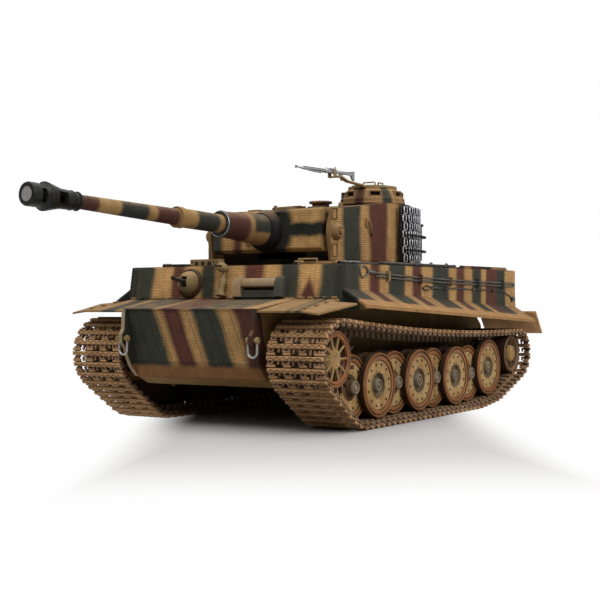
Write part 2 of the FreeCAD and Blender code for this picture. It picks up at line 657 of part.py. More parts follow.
def swing_arms():
    """Fixed swing arms with their stub axles, and the two idler cranks."""
    wall = size("tub_half_width") + 0.05
    radius = size("axle_radius")
    solids = []
    for axle in range(1, 9):
        y = axle_y(axle)
        z = axle_z(axle)
        pivot = Vector(wall, y - 15, z + 9)
        end = size(wheel_row(axle) + "_row")
        tip = end + 4.4 if wheel_row(axle) == "outer" else end + 9.6
        boss = rod(5.2, pivot, pivot + Vector(4.4, 0, 0))
        arm = plate([Vector(wall + 1, y - 17.4, z + 5.4), Vector(wall + 1, y - 1, z - 4.2),
                     Vector(wall + 1, y + 2, z + 4.0), Vector(wall + 1, y - 12.6, z + 12.6)], Vector(3.2, 0, 0))
        stub = rod(radius, Vector(wall + 1, y, z), Vector(tip, y, z))
        solids.append(fuse_all([boss, arm, stub]))
    y = size("idler_behind")
    z = size("idler_height")
    crank = fuse_all([rod(5.6, Vector(wall, y - 8, z + 1), Vector(wall + 4.4, y - 8, z + 1)),
                      block(wall + 1, wall + 4.2, y - 9, y + 2, z - 3.4, z + 3.8),
                      rod(radius, Vector(wall + 1, y, z), Vector(size("track_middle") + 12.0, y, z))])
    solids.append(crank)
    solids += [mirrored(item) for item in solids]
    shaped("swing_arms", Part.makeCompound(solids))


def sprocket(label, side):
    """Twin-ring drive sprocket on its drive shaft."""
    turn = Rotation(Z_AXIS, 0 if side > 0 else 180)
    place = hull_place(side * size("track_middle"), -size("sprocket_ahead"), size("sprocket_height"), turn)
    body = new_body(label, place)
    ring = "ring_offset + ring_width / 2"
    step = "ring_offset - ring_width / 2"
    profile = [("-38", "0"), ("-38", "axle_radius"), ("-(" + ring + ") - 3", "axle_radius"),
               ("-(" + ring + ") - 3", "9"), ("-(" + ring + ")", "10"), ("-(" + ring + ")", "ring_radius"),
               ("-(" + step + ")", "ring_radius"), ("-(" + step + ")", "14"), (step, "14"),
               (step, "ring_radius"), (ring, "ring_radius"), (ring, "ring_radius - 4.4"),
               (ring + " - 1.2", "14.4"), (ring + " - 1.6", "10.5"), (ring + " - 4.6", "9.5"),
               (ring + " - 4.6", "7.4"), (ring + " - 1.6", "7"), (ring + " - 1.6", "0")]
    spin(body, "drum", add_outline(new_sketch(body, "drum_section", "XY_Plane"), profile))
    tooth = add_outline(new_sketch(body, "tooth_outline", "YZ_Plane"), [
        ("-1.4", "ring_radius - 1"), ("1.4", "ring_radius - 1"), ("1.2", "ring_radius + 4.6"),
        ("0.5", "ring_radius + 7.7"), ("-0.5", "ring_radius + 7.7"), ("-1.2", "ring_radius + 4.6")])
    bar = pad(body, "tooth", tooth, "2 * (" + ring + ")", both_ways=True)
    repeat_round(body, "teeth", bar, "X_Axis", "sprocket_teeth")
    middle = add_rectangle(new_sketch(body, "between_rings", "XY_Plane"), "-(" + step + ")", step,
                           "14", "ring_radius + 9")
    groove(body, "gap", middle)


def idler(label, side):
    """Twin-disc idler; the guide horns pass between its discs."""
    turn = Rotation(Z_AXIS, 0 if side > 0 else 180)
    place = hull_place(side * size("track_middle"), size("idler_behind"), size("idler_height"), turn)
    body = new_body(label, place)
    bore = "axle_radius + bearing_play"
    profile = [("-11.4", bore), ("-11.4", "idler_radius"), ("-2.6", "idler_radius"), ("-2.6", "10"),
               ("0.8", "10"), ("0.8", "idler_radius"), ("13.6", "idler_radius"),
               ("13.6", "idler_radius - 2.4"), ("10.2", "idler_radius - 3.4"), ("10.2", "8"),
               ("14.2", "6"), ("14.2", "0"), ("12.4", "0"), ("12.4", bore)]
    spin(body, "discs", add_outline(new_sketch(body, "idler_section", "XY_Plane"), profile))


def track_stops():
    """Circles that the pins run round: centre y, centre z and radius."""
    half_pitch = size("link_pitch") / 2
    off_wheel = math.hypot(size("wheel_radius + link_inside") + 0.1, half_pitch)
    teeth_radius = size("sprocket_teeth * link_pitch") / (2 * math.pi)
    stops = [(-size("sprocket_ahead"), size("sprocket_height"), teeth_radius)]
    stops += [(axle_y(axle), axle_z(axle), off_wheel) for axle in (1, 7, 8)]
    idler_line = math.hypot(size("idler_radius + link_inside") + 0.1, half_pitch)
    stops.append((size("idler_behind"), size("idler_height"), idler_line))
    return stops


def lower_tangent(first, second):
    """Unit normal, pointing down and out, of the belt line under two circles."""
    along = (second[0] - first[0], second[1] - first[1])
    distance = math.hypot(along[0], along[1])
    heading = math.atan2(along[1], along[0])
    tilt = math.asin((first[2] - second[2]) / distance)
    angle = heading - math.pi / 2 + tilt
    return (math.cos(angle), math.sin(angle))


def arc_points(centre_y, centre_z, radius, start, end, step):
    count = max(2, int(abs(end - start) * radius / step))
    angles = [start + (end - start) * index / count for index in range(count + 1)]
    return [(centre_y + radius * math.cos(angle), centre_z + radius * math.sin(angle)) for angle in angles]


def track_line():
    """The closed pin line, from the sprocket's top forward, under and back."""
    stops = track_stops()
    sprocket_stop, idler_stop = stops[0], stops[-1]
    normals = [lower_tangent(first, second) for first, second in zip(stops, stops[1:])]
    angles = [math.atan2(normal[1], normal[0]) for normal in normals]
    start_y, start_z, span, slope_start, slope_end = top_run()
    points = arc_points(sprocket_stop[0], sprocket_stop[1], sprocket_stop[2],
                        math.pi / 2 + math.atan(slope_start), 2 * math.pi + angles[0], 0.2)
    for index, stop in enumerate(stops[1:-1]):
        points += arc_points(stop[0], stop[1], stop[2], angles[index], angles[index + 1], 0.2)
    points += arc_points(idler_stop[0], idler_stop[1], idler_stop[2], angles[-1],
                         math.pi / 2 + math.atan(slope_end), 0.2)
    chord_slope = (slope_start + slope_end) / 2
    bend = (slope_end - slope_start) / (2 * span)
    for index in range(1, 400):
        along = span * (1 - index / 400)
        points.append((start_y + along, start_z + slope_start * along + bend * along * along))
    return points


def top_run():
    """Where the sagging top run starts on the sprocket, its span and its end slopes."""
    stops = track_stops()
    (sprocket_y, sprocket_z, sprocket_r), (idler_y, idler_z, idler_r) = stops[0], stops[-1]
    slope_start = slope_end = 0.0
    for repeat in range(30):
        start = (sprocket_y - sprocket_r * math.sin(math.atan(slope_start)),
                 sprocket_z + sprocket_r * math.cos(math.atan(slope_start)))
        end = (idler_y - idler_r * math.sin(math.atan(slope_end)),
               idler_z + idler_r * math.cos(math.atan(slope_end)))
        span = end[0] - start[0]
        chord_slope = (end[1] - start[1]) / span
        slope_start = chord_slope - 4 * size("top_run_sag") / span
        slope_end = chord_slope + 4 * size("top_run_sag") / span
    return start[0], start[1], span, slope_start, slope_end


def pins_along(points, count, lead):
    """Evenly spaced points round a closed line, the first one lead beyond its start."""
    closed = points + points[:1]
    steps = [math.dist(first, second) for first, second in zip(closed, closed[1:])]
    total = sum(steps)
    pins = []
    for index in range(count):
        wanted = (lead + index * total / count) % total
        place = 0
        while wanted > steps[place]:
            wanted -= steps[place]
            place += 1
        part_way = wanted / steps[place]
        first, second = closed[place], closed[place + 1]
        pins.append((first[0] + (second[0] - first[0]) * part_way,
                     first[1] + (second[1] - first[1]) * part_way))
    return pins, total / count


def track_link(mirror_side):
    """One link lying flat: z = 0 is the pin line, -z faces the ground, +y runs along."""
    half = size("track_width / 2")
    inside = size("link_inside")
    outside = size("link_outside")
    reach = size("link_pitch / 2") - 0.25
    section = [(-reach + 0.6, inside), (-reach, 0.2), (-reach, -0.9), (-reach + 0.9, -outside),
               (reach - 0.9, -outside), (reach, -0.9), (reach, 0.2), (reach - 0.6, inside)]
    link = side_plate(section, -half, half)
    for ring in (1, -1):
        middle = ring * size("ring_offset")
        link = link.cut(block(middle - 1.9, middle + 1.9, -2.5, 2.5, -outside - 1, inside + 1))
    for horn in (-1.05, -12.9):
        tip = size("horn_height") + inside
        base = horn * mirror_side
        outline = [(-2.6, inside - 0.3), (2.6, inside - 0.3), (1.1, tip), (-1.1, tip)]
        link = link.fuse(side_plate(outline, base - 0.6, base + 0.6))
    return link.removeSplitter()


def sprocket_lead(points, pitch):
    """Phase that sets a link's middle on a tooth: teeth stand at whole steps from +z."""
    start_angle = math.atan2(points[0][1] - size("sprocket_height"), points[0][0] + size("sprocket_ahead"))
    step = 2 * math.pi / size("sprocket_teeth")
    beyond_tooth = (start_angle - math.pi / 2) % step
    to_half = (step / 2 - beyond_tooth) % step
    return to_half * size("sprocket_teeth") * size("link_pitch") / (2 * math.pi)


def track(label, side):
    """A closed chain of separate links laid round the wheels."""
    points = track_line()
    count = int(size("link_count"))
    pins, pitch = pins_along(points, count, sprocket_lead(points, size("link_pitch")))
    if abs(pitch - size("link_pitch")) > 0.02:
        raise ValueError("the pin line gives a pitch of %.4f" % pitch)
    link = track_link(side)
    solids = []
    for first, second in zip(pins, pins[1:] + pins[:1]):
        middle = Vector(side * size("track_middle"), (first[0] + second[0]) / 2, (first[1] + second[1]) / 2)
        heading = math.degrees(math.atan2(second[1] - first[1], second[0] - first[0]))
        placed = link.copy()
        placed.Placement = Placement(middle, Rotation(X_AXIS, heading))
        solids.append(placed)
    shaped(label, Part.makeCompound(solids))


# ---------------------------------------------------------------- inside the hull

def inside_the_hull():
    """Drive gearboxes, battery and its door, control board, speaker, turret motor, switch."""
    bore = size("axle_radius + bearing_play")
    y = -size("sprocket_ahead")
    z = size("sprocket_height")
    case = block(14, 55.6, y, y + 30, 36, 68)
    case = case.fuse(block(44, 55.6, y - 5.6, y + 4, 44, 60))
    case = case.cut(rod(bore, Vector(40, y, z), Vector(60, y, z)))
    motor = rod(11.5, Vector(26, y + 29.9, 50), Vector(26, y + 68, 50))
    gearbox = fuse_all([case, motor])
    shaped("drive_gearboxes", Part.makeCompound([gearbox, mirrored(gearbox)]))
    shaped("battery_pack", block(-22.5, 22.5, -26, 66, 33.4, 56.0))
    shaped("battery_door", fuse_all([block(-23.9, 23.9, -29.9, 69.9, 30.0, 32.9),
                                     block(-6, 6, 64, 69.9, 29.2, 30.1)]))
    shaped("control_board", fuse_all([block(-35, 35, 76, 140, 60.0, 61.6), block(-12, 12, 96, 120, 61.5, 66),
                                      block(18, 32, 82, 132, 61.5, 69), block(-32, -20, 84, 92, 61.5, 72)]))
    speaker = taper(12, 20, Vector(0, 112, 38), Vector(0, 112, 50))
    shaped("speaker", fuse_all([speaker, rod(9, Vector(0, 112, 33.1), Vector(0, 112, 38.2))]))
    shaped("turret_motor", fuse_all([rod(8, Vector(66, 44, 87), Vector(66, 44, 106)),
                                     block(56, 78, 34, 54, 86.3, 88.4)]))
    knob = block(-3.4, 3.4, 150.6, 156.6, 27.4, 29.9)
    shaped("power_switch", fuse_all([knob, block(-2, 2, 151.4, 155.8, 29.8, 33.6)]))


# ---------------------------------------------------------------- turret

def turret_turn():
    return Rotation(Z_AXIS, -size("turret_yaw"))


def turret_place(x=0.0, y=0.0, z=0.0, rotation=None):
    """A place in the turret's own frame: its ring centre on the ground, gun along -y."""
    turn = turret_turn()
    base = at(0, size("turret_behind"), 0) + turn.multVec(Vector(x, y, z))
    return Placement(base, turn.multiply(rotation or Rotation()))


def turret_outline(inset, front):
    """Plan of the turret wall: straight cheeks and a round rear."""
    radius = size("turret_radius") - inset
    centre = size("turret_round")
    cheek = size("turret_radius") - 2.6 - inset
    left = Vector(radius, centre, 0)
    right = Vector(-radius, centre, 0)
    arc = Part.Arc(left, Vector(0, centre + radius, 0), right).toShape()
    lines = [(right, Vector(-cheek, -front, 0)), (Vector(-cheek, -front, 0), Vector(cheek, -front, 0)),
             (Vector(cheek, -front, 0), left)]
    edges = [arc] + [Part.makeLine(start, end) for start, end in lines]
    return Part.Face(Part.Wire(edges))


def roof_height_at(y):
    """The roof is flat behind y = 2 and slopes down towards the gun."""
    return size("turret_roof") - max(0.0, 2.0 - y) * 0.113


def turret_shell():
    """Horseshoe wall, sloping roof, front bulkhead and the collar of the turret ring."""
    base = size("turret_base")
    front = size("turret_front")
    wall = size("turret_wall")
    roof = size("turret_roof")
    solid = turret_outline(0.0, front + 3.0).extrude(Vector(0, 0, roof - base))
    solid.translate(Vector(0, 0, base))
    above = [(-90, roof + 5), (-90, roof_height_at(-90)), (2, roof), (100, roof), (100, roof + 5)]
    solid = solid.cut(side_plate(above, -80, 80))
    hollow = turret_outline(wall, front + 12.0).extrude(Vector(0, 0, roof))
    below = [(-100, 0), (-100, roof_height_at(-100) - 2.6), (2, roof - 2.6), (100, roof - 2.6), (100, 0)]
    solid = solid.cut(hollow.common(side_plate(below, -80, 80)))
    trunnion = size("trunnion_height")
    nose = [(-front - 3.4, trunnion), (-front + 0.6, 120), (-front + 0.6, 90), (-110, 90), (-110, 180),
            (-front + 1.2, 180), (-front + 1.2, 160)]
    solid = solid.cut(side_plate(nose, -80, 80))
    front_roof = block(-size("mantlet_half_width") - 1.2, size("mantlet_half_width") + 1.2, -front - 8, -60.8, 150, 175)
    solid = solid.cut(front_roof)
    bulkhead = block(-58.6, 58.6, -60.8, -58.0, base, roof_height_at(-58) - 1.0)
    bulkhead = bulkhead.cut(block(-24, 24, -62, -57, 124, 160))
    pin = rod(4.05, Vector(-58.4, -size("trunnion_ahead"), trunnion), Vector(58.4, -size("trunnion_ahead"), trunnion))
    collar_radius = size("ring_bore - ring_play")
    floor = turret_outline(0.6, 60.0).extrude(Vector(0, 0, 2.0))
    floor.translate(Vector(0, 0, base))
    shoulder = rod(56.0, Vector(0, 0, size("roof_height") + 0.1), Vector(0, 0, base + 0.1))
    collar = rod(collar_radius, Vector(0, 0, size("roof_height") - 6), Vector(0, 0, base))
    shell = fuse_all([solid, bulkhead, floor, shoulder, collar])
    well = rod(collar_radius - 3.0, Vector(0, 0, 90), Vector(0, 0, base + 3))
    shell = shell.cut(well).cut(pin)
    for side in (1, -1):
        plug = taper(6.4, 3.6, Vector(side * 59.6, -72, 143), Vector(side * 65.0, -72, 143))
        shell = shell.fuse(plug)
    fan = fuse_all([rod(6.4, Vector(9, -20, 165), Vector(9, -20, 169.6)),
                    rod(9.0, Vector(9, -20, 169.5), Vector(9, -20, 171.4))])
    shell = shell.fuse(fan).removeSplitter()
    shaped("turret_shell", shell, turret_place())


def gun_turn():
    return Rotation(X_AXIS, -size("gun_elevation"))


def gun_place():
    """The gun's own frame: origin on the trunnion axis, muzzle along -y."""
    return turret_place(0, -size("trunnion_ahead"), size("trunnion_height"), gun_turn())


def mantlet():
    """Cast mantlet plate with its trunnions, sleeve and recoil cradle."""
    wide = size("mantlet_half_width")
    tall = size("mantlet_half_height")
    face = -size("mantlet_front")
    outline = [(face, -tall + 2), (face, tall - 2), (face + 2, tall), (-4.6, tall), (-4.6, -tall),
               (face + 2, -tall)]
    body = side_plate(outline, -wide, wide)
    boss = taper(16.2, 13.2, Vector(0, face + 1, 0), Vector(0, face - 7.5, 0))
    sleeve = taper(12.2, 9.5, Vector(0, face - 6.5, 0), Vector(0, -67, 0))
    ring = rod(9.9, Vector(0, -66.9, 0), Vector(0, -69.4, 0))
    lugs = [block(side * 50 - 3, side * 50 + 3, -5, 3.6, -4, 4) for side in (1, -1)]
    pins = [rod(4.0, Vector(side * 50, 0, 0), Vector(side * 58.3, 0, 0)) for side in (1, -1)]
    cradle = block(-10, 10, -5, 26, -10, 10)
    whole = fuse_all([body, boss, sleeve, ring, cradle] + lugs + pins)
    bore = rod(size("barrel_radius + bearing_play"), Vector(0, 40, 0), Vector(0, -80, 0))
    whole = whole.cut(bore)
    sights = [rod(1.0, Vector(x, face + 2, 3.2), Vector(x, face - 1, 3.2)) for x in (31.3, 34.4)]
    coaxial = rod(1.5, Vector(-17.5, face + 3, -9.6), Vector(-17.5, face - 1, -9.6))
    whole = whole.cut(sights[0]).cut(sights[1]).cut(coaxial)
    shaped("mantlet", whole, gun_place())


def gun_barrel():
    """Stepped barrel with a double-baffle muzzle brake; it slides back in the sleeve."""
    body = new_body("gun_barrel", gun_place())
    profile = [("0", "28"), ("barrel_radius", "28"), ("barrel_radius", "-112"), ("7.5", "-112.6"),
               ("7.5", "-116.6"), ("5.9", "-117.4"), ("4.7", "42 - gun_reach"), ("5.6", "41.5 - gun_reach"),
               ("6.2", "36 - gun_reach"), ("6.6", "26 - gun_reach"), ("9.2", "15 - gun_reach"),
               ("9.2", "13.6 - gun_reach"), ("6.4", "11 - gun_reach"), ("6.4", "7.6 - gun_reach"),
               ("7.7", "6.6 - gun_reach"), ("7.7", "0.8 - gun_reach"), ("6.9", "-gun_reach"),
               ("2.75", "-gun_reach"), ("2.75", "70 - gun_reach"), ("0", "70 - gun_reach")]
    spin(body, "tube", add_outline(new_sketch(body, "gun_section", "XY_Plane"), profile), axis="V_Axis")
    ports = new_sketch(body, "brake_ports", "YZ_Plane")
    add_rectangle(ports, "7.4 - gun_reach", "11.4 - gun_reach", "-4.4", "4.4")
    add_rectangle(ports, "20 - gun_reach", "29 - gun_reach", "-4", "4")
    pocket(body, "ports", ports, "30", both_ways=True)


def cupola():
    """Cast commander's cupola with seven vision blocks and the seat of the gun rail."""
    base = size("turret_roof") + 0.05
    radius = size("cupola_radius")
    top = size("cupola_top")
    rail = size("rail_radius")
    bore = size("hatch_radius") + 0.4
    wall = [(bore, base), (radius, base), (radius - 0.2, top - 9.1), (radius - 3.9, top - 2.6),
            (rail + 2.2, top - 1.0), (rail + 2.2, top), (rail, top), (rail, top + 1.9), (bore, top + 1.9)]
    outline = [Vector(across, 0, up) for across, up in wall]
    solid = Part.Face(Part.makePolygon(outline + outline[:1])).revolve(Vector(0, 0, 0), Z_AXIS, 360)
    for index in range(7):
        slot = block(radius - 6.4, radius + 2, -4.0, 4.0, top - 7.4, top - 3.6)
        slot.rotate(Vector(0, 0, 0), Z_AXIS, 360 * index / 7)
        solid = solid.cut(slot)
    shaped("cupola", solid, turret_place(size("cupola_left"), size("cupola_behind")))


def commander_hatch():
    """Round hatch lid in the cupola, hinged at its rear edge."""
    radius = size("hatch_radius")
    low = size("cupola_top") + 0.4
    lid = rod(radius, Vector(0, 0, low), Vector(0, 0, low + 1.8))
    grip = tube_along([Vector(8, -3.4, low + 1.7), Vector(8, -3.4, low + 4.4), Vector(8, 3.4, low + 4.4),
                       Vector(8, 3.4, low + 1.7)], 0.55)
    hinge = radius + 1.7
    barrel = rod(0.9, Vector(-5, hinge, low + 2.6), Vector(5, hinge, low + 2.6))
    leaf = block(-5, 5, 8, hinge, low + 1.7, low + 2.9)
    place = turret_place(size("cupola_left"), size("cupola_behind"))
    shaped("commander_hatch", fuse_all([lid, grip, barrel, leaf]), place)


def loader_hatch_place():
    slope = Rotation(X_AXIS, math.degrees(math.atan(0.113)))
    return turret_place(-25, -16, roof_height_at(-16), slope)


def loader_hatch():
    """Round loader's hatch on the sloping front half of the turret roof."""
    lid = rod(13.0, Vector(0, 0, 0.1), Vector(0, 0, 1.7))
    raised = rod(9.5, Vector(0, 0, 1.6), Vector(0, 0, 2.4))
    barrel = rod(0.9, Vector(-14.4, -5, 1.3), Vector(-14.4, 5, 1.3))
    leaf = block(-14.4, -9, -4, 4, 1.0, 2.0)
    shaped("loader_hatch", fuse_all([lid, raised, barrel, leaf]), loader_hatch_place())


def gun_rail_place():
    return turret_place(size("cupola_left"), size("cupola_behind"), size("cupola_top"))


def aa_bracket():
    """Rail ring that turns on the cupola, with the arm of the machine gun."""
    rail = size("rail_radius")
    ring = rod(rail + 2.0, Vector(0, 0, 0.1), Vector(0, 0, 1.7))
    ring = ring.cut(rod(rail + size("bearing_play"), Vector(0, 0, -1), Vector(0, 0, 3)))
    run = ((-19.2, 1.2), (-44, 3.2), (-53, 6.2), (-57.4, 5.8))
    arms = [tube_along([Vector(x, y, z) for y, z in run], 0.9) for x in (3.6, 5.8)]
    fork = [block(side * 2.6 - 0.5, side * 2.6 + 0.5, -59.2, -55.6, 5.1, 11.3) for side in (1, -1)]
    base = block(-3.1, 6.6, -59.2, -55.6, 5.1, 6.3)
    clamp = block(-5, 6.6, -22.6, -17.6, 0.1, 1.9)
    clamp = clamp.cut(rod(rail + size("bearing_play"), Vector(0, 0, -1), Vector(0, 0, 3)))
    whole = fuse_all([ring, clamp, base] + arms + fork)
    pin = rod(0.75, Vector(-4, -57.4, 9.5), Vector(4, -57.4, 9.5))
    shaped("aa_bracket", whole.cut(pin), gun_rail_place())


def aa_machine_gun():
    """The cupola's machine gun, tilting on a cross pin in the arm's fork."""
    barrel = rod(1.05, Vector(0, -46, 0.6), Vector(0, -8, 0.6))
    muzzle = taper(0.7, 1.2, Vector(0, -42, 0.6), Vector(0, -47.5, 0.6))
    receiver = block(-1.5, 1.5, -9, 17, -0.9, 2.0)
    stock = plate([Vector(-0.9, 17, 1.8), Vector(-0.9, 30, 2.4), Vector(-0.9, 30, -4.2), Vector(-0.9, 26, -0.2),
                   Vector(-0.9, 17, -0.4)], Vector(1.8, 0, 0))
    grip = plate([Vector(-0.8, 10, -0.8), Vector(-0.8, 13, -0.8), Vector(-0.8, 15, -5.4), Vector(-0.8, 12.4, -5.4)],
                 Vector(1.6, 0, 0))
    sight = block(-0.4, 0.4, 2, 4, 1.9, 3.4)
    pin = rod(0.7, Vector(-3.2, 0, 0), Vector(3.2, 0, 0))
    place = turret_place(size("cupola_left"), size("cupola_behind") - 57.4, size("cupola_top") + 9.5)
    shaped("aa_machine_gun", fuse_all([barrel, muzzle, receiver, stock, grip, sight, pin]), place)


def spare_links():
    """Spare track links hung upright round the rear quarters of the turret wall."""
    centre = Vector(0, size("turret_round"), 0)
    inner = size("turret_radius") + 2.6
    tall = size("track_width")
    pitch = size("link_pitch")
    low = size("turret_base") + 2.0
    solids = []
    for index in range(7):
        link = block(inner, inner + 3.6, -pitch / 2 + 0.25, pitch / 2 - 0.25, low, low + tall)
        for up in (tall / 2 - 1.05, tall / 2 - 12.9):
            link = link.fuse(plate([Vector(inner + 3.5, -2.4, low + up), Vector(inner + 3.5, 2.4, low + up),
                                    Vector(inner + 8.4, 1.0, low + up), Vector(inner + 8.4, -1.0, low + up)],
                                   Vector(0, 0, 1.2)))
        hook = block(size("turret_radius") - 0.0, inner + 0.2, -1.2, 1.2, low + tall - 8, low + tall - 4)
        link = link.fuse(hook).removeSplitter()
        link.rotate(Vector(0, 0, 0), Z_AXIS, index * math.degrees(pitch / (inner + 1.8)) - 3.0)
        link.translate(centre)
        solids.append(link)
    solids += [mirrored(item) for item in solids]
    shell_space = turret_outline(-0.02, 70.0).extrude(Vector(0, 0, 200))
    solids = [item.cut(shell_space) for item in solids]
    shaped("spare_links", Part.makeCompound(solids), turret_place())


def turret_bin():
    """Stowage bin on the rear of the turret with an overhanging lid."""
    low = size("turret_base") + 6.0
    box = block(-33, 33, 50, 99, low, low + 30)
    lid = block(-34, 34, 50, 100, low + 29.9, low + 32)
    whole = fuse_all([box, lid])
    wall = turret_outline(-0.05, 70.0).extrude(Vector(0, 0, 200))
    shaped("turret_bin", whole.cut(wall), turret_place())


# ---------------------------------------------------------------- the whole tank

def build_hull():
    lower_hull()
    nose_armour()
    shackle("shackle_left", 1)
    shackle("shackle_right", -1)
    upper_hull()
    engine_deck()
    mudguards()
    side_skirts()
    exhausts()
    driver_visor()
    headlight()
    bow_gun_collar()
    bow_ball()
    bow_gun()
    roof_hatch("driver_hatch", 1)
    roof_hatch("radio_hatch", -1)
    roof_brackets()
    tow_cables()
    cable_clips()
    deck_tools()
    inside_the_hull()


def build_running_gear():
    swing_arms()
    for name, side in (("left", 1), ("right", -1)):
        sprocket("sprocket_" + name, side)
        idler("idler_" + name, side)
        for axle in range(1, 9):
            road_wheel("wheel_%s_%d" % (name, axle), side, axle)
        track("track_" + name, side)


def build_turret():
    turret_shell()
    mantlet()
    gun_barrel()
    cupola()
    commander_hatch()
    loader_hatch()
    aa_bracket()
    aa_machine_gun()
    spare_links()
    turret_bin()


def check_and_export():
    for item in doc.Objects:
        if "Invalid" in item.State or "Error" in item.State:
            raise ValueError("%s failed to build" % item.Label)
    for item in sub_parts:
        if item.Shape.isNull() or not item.Shape.isValid():
            raise ValueError("%s has no valid shape" % item.Label)
    os.makedirs("parts", exist_ok=True)
    for item in sub_parts:
        item.Shape.exportStep("parts/%s.step" % item.Label)


build_hull()
build_running_gear()
build_turret()
doc.recompute()
check_and_export()
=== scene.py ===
"""Looks of a 1/16 scale radio-controlled heavy tank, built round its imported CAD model.

Shapes are written in millimetres of the hull frame: x = 0 is the middle plane, y = 0
the middle of the wheelbase, z = 0 the ground, and the front faces -y. The turret and
the gun have frames of their own. Every piece is turned into metres of the CAD frame.
"""
import math

import bmesh
import bpy
from mathutils import Matrix, Vector, noise


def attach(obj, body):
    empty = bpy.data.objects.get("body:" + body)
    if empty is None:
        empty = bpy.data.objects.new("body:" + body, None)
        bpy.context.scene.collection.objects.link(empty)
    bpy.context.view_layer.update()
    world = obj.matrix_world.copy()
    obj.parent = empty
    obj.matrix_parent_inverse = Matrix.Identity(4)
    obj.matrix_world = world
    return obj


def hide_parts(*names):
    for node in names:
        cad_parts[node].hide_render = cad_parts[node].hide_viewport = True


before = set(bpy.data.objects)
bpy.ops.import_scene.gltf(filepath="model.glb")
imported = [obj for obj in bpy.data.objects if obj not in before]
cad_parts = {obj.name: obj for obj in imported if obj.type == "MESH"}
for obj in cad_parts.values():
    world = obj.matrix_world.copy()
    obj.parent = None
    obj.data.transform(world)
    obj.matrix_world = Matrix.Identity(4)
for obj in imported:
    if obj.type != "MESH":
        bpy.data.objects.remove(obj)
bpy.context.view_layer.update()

# ---------------------------------------------------------------- frames of the object

METRES = Matrix.Scale(0.001, 4)
HULL_SHIFT = Vector((0, 54, 0))
HULL = Matrix.Translation(HULL_SHIFT)
TURRET = HULL @ Matrix.Translation((0, 11.5, 0)) @ Matrix.Rotation(math.radians(-4.0), 4, "Z")
GUN = TURRET @ Matrix.Translation((0, -66, 144.4)) @ Matrix.Rotation(math.radians(-3.1), 4, "X")
CUPOLA = TURRET @ Matrix.Translation((33, 20, 0))
RAIL = CUPOLA @ Matrix.Translation((0, 0, 182.6))
MACHINE_GUN = RAIL @ Matrix.Translation((0, -57.4, 9.5))
PLATE_LEAN = -math.atan2(4.5, 24.7)
FRONT_PLATE = HULL @ Matrix.Translation((0, -124.9, 92.5)) @ Matrix.Rotation(PLATE_LEAN, 4, "X")
AXLE_PITCH = 32.2
TRACK_MIDDLE = 88.15
LINK_HALF = 22.6
WHEEL_HEIGHT = 29.506
LAST_WHEEL_HEIGHT = 33.2
SIDES = (("left", 1), ("right", -1))
SPROCKET = (-146.0, 51.2)
IDLER = (163.0, 43.0)

# ---------------------------------------------------------------- materials

TAN = (0.35, 0.20, 0.074)
YELLOW_TAN = (0.38, 0.225, 0.078)
ORANGE_TAN = (0.27, 0.12, 0.036)
GREEN = (0.027, 0.029, 0.019)
RED = (0.080, 0.024, 0.014)
DUST = (0.27, 0.17, 0.085)
# DARK is near-black: painted shade in openings, and part of the lamp's painted shadow
DARK = (0.012, 0.011, 0.009)


def node(tree, kind, **values):
    made = tree.nodes.new(kind)
    for name, value in values.items():
        setattr(made, name, value)
    return made


def feed(tree, target, source):
    """Give an input a socket or a plain value."""
    if isinstance(source, bpy.types.NodeSocket):
        tree.links.new(source, target)
    else:
        target.default_value = source


def maths(tree, operation, first, second=0.0, third=0.0):
    made = node(tree, "ShaderNodeMath", operation=operation)
    for target, source in zip(made.inputs, (first, second, third)):
        feed(tree, target, source)
    return made.outputs[0]


def clamp_map(tree, value, low, high, out_low=0.0, out_high=1.0):
    made = node(tree, "ShaderNodeMapRange", interpolation_type="SMOOTHSTEP")
    for name, source in (("Value", value), ("From Min", low), ("From Max", high),
                         ("To Min", out_low), ("To Max", out_high)):
        feed(tree, made.inputs[name], source)
    return made.outputs["Result"]


def mix_colour(tree, factor, first, second, blend="MIX"):
    made = node(tree, "ShaderNodeMix", data_type="RGBA", blend_type=blend)
    feed(tree, made.inputs["Factor"], factor)
    for target, source in ((made.inputs["A"], first), (made.inputs["B"], second)):
        feed(tree, target, source if isinstance(source, bpy.types.NodeSocket) else (*source, 1.0))
    return made.outputs["Result"]


def position(tree):
    """The point in millimetres of the CAD frame."""
    coordinates = node(tree, "ShaderNodeTexCoord")
    scaled = node(tree, "ShaderNodeVectorMath", operation="SCALE")
    feed(tree, scaled.inputs[0], coordinates.outputs["Object"])
    scaled.inputs["Scale"].default_value = 1000.0
    return scaled.outputs[0]


def vector_between(tree, point, start):
    """The vector from a fixed place to the point."""
    made = node(tree, "ShaderNodeVectorMath", operation="SUBTRACT")
    feed(tree, made.inputs[0], point)
    made.inputs[1].default_value = start
    return made.outputs[0]


def along(tree, point, direction, start=(0, 0, 0)):
    """Distance of the point from start, measured along a direction."""
    dot = node(tree, "ShaderNodeVectorMath", operation="DOT_PRODUCT")
    feed(tree, dot.inputs[0], vector_between(tree, point, start))
    dot.inputs[1].default_value = direction
    return dot.outputs["Value"]


def noise_value(tree, point, scale, detail=3.0, stretch=(1, 1, 1)):
    scaled = node(tree, "ShaderNodeVectorMath", operation="MULTIPLY")
    feed(tree, scaled.inputs[0], point)
    scaled.inputs[1].default_value = [scale * factor for factor in stretch]
    made = node(tree, "ShaderNodeTexNoise")
    feed(tree, made.inputs["Vector"], scaled.outputs[0])
    made.inputs["Scale"].default_value = 1.0
    made.inputs["Detail"].default_value = detail
    return made.outputs["Fac"]


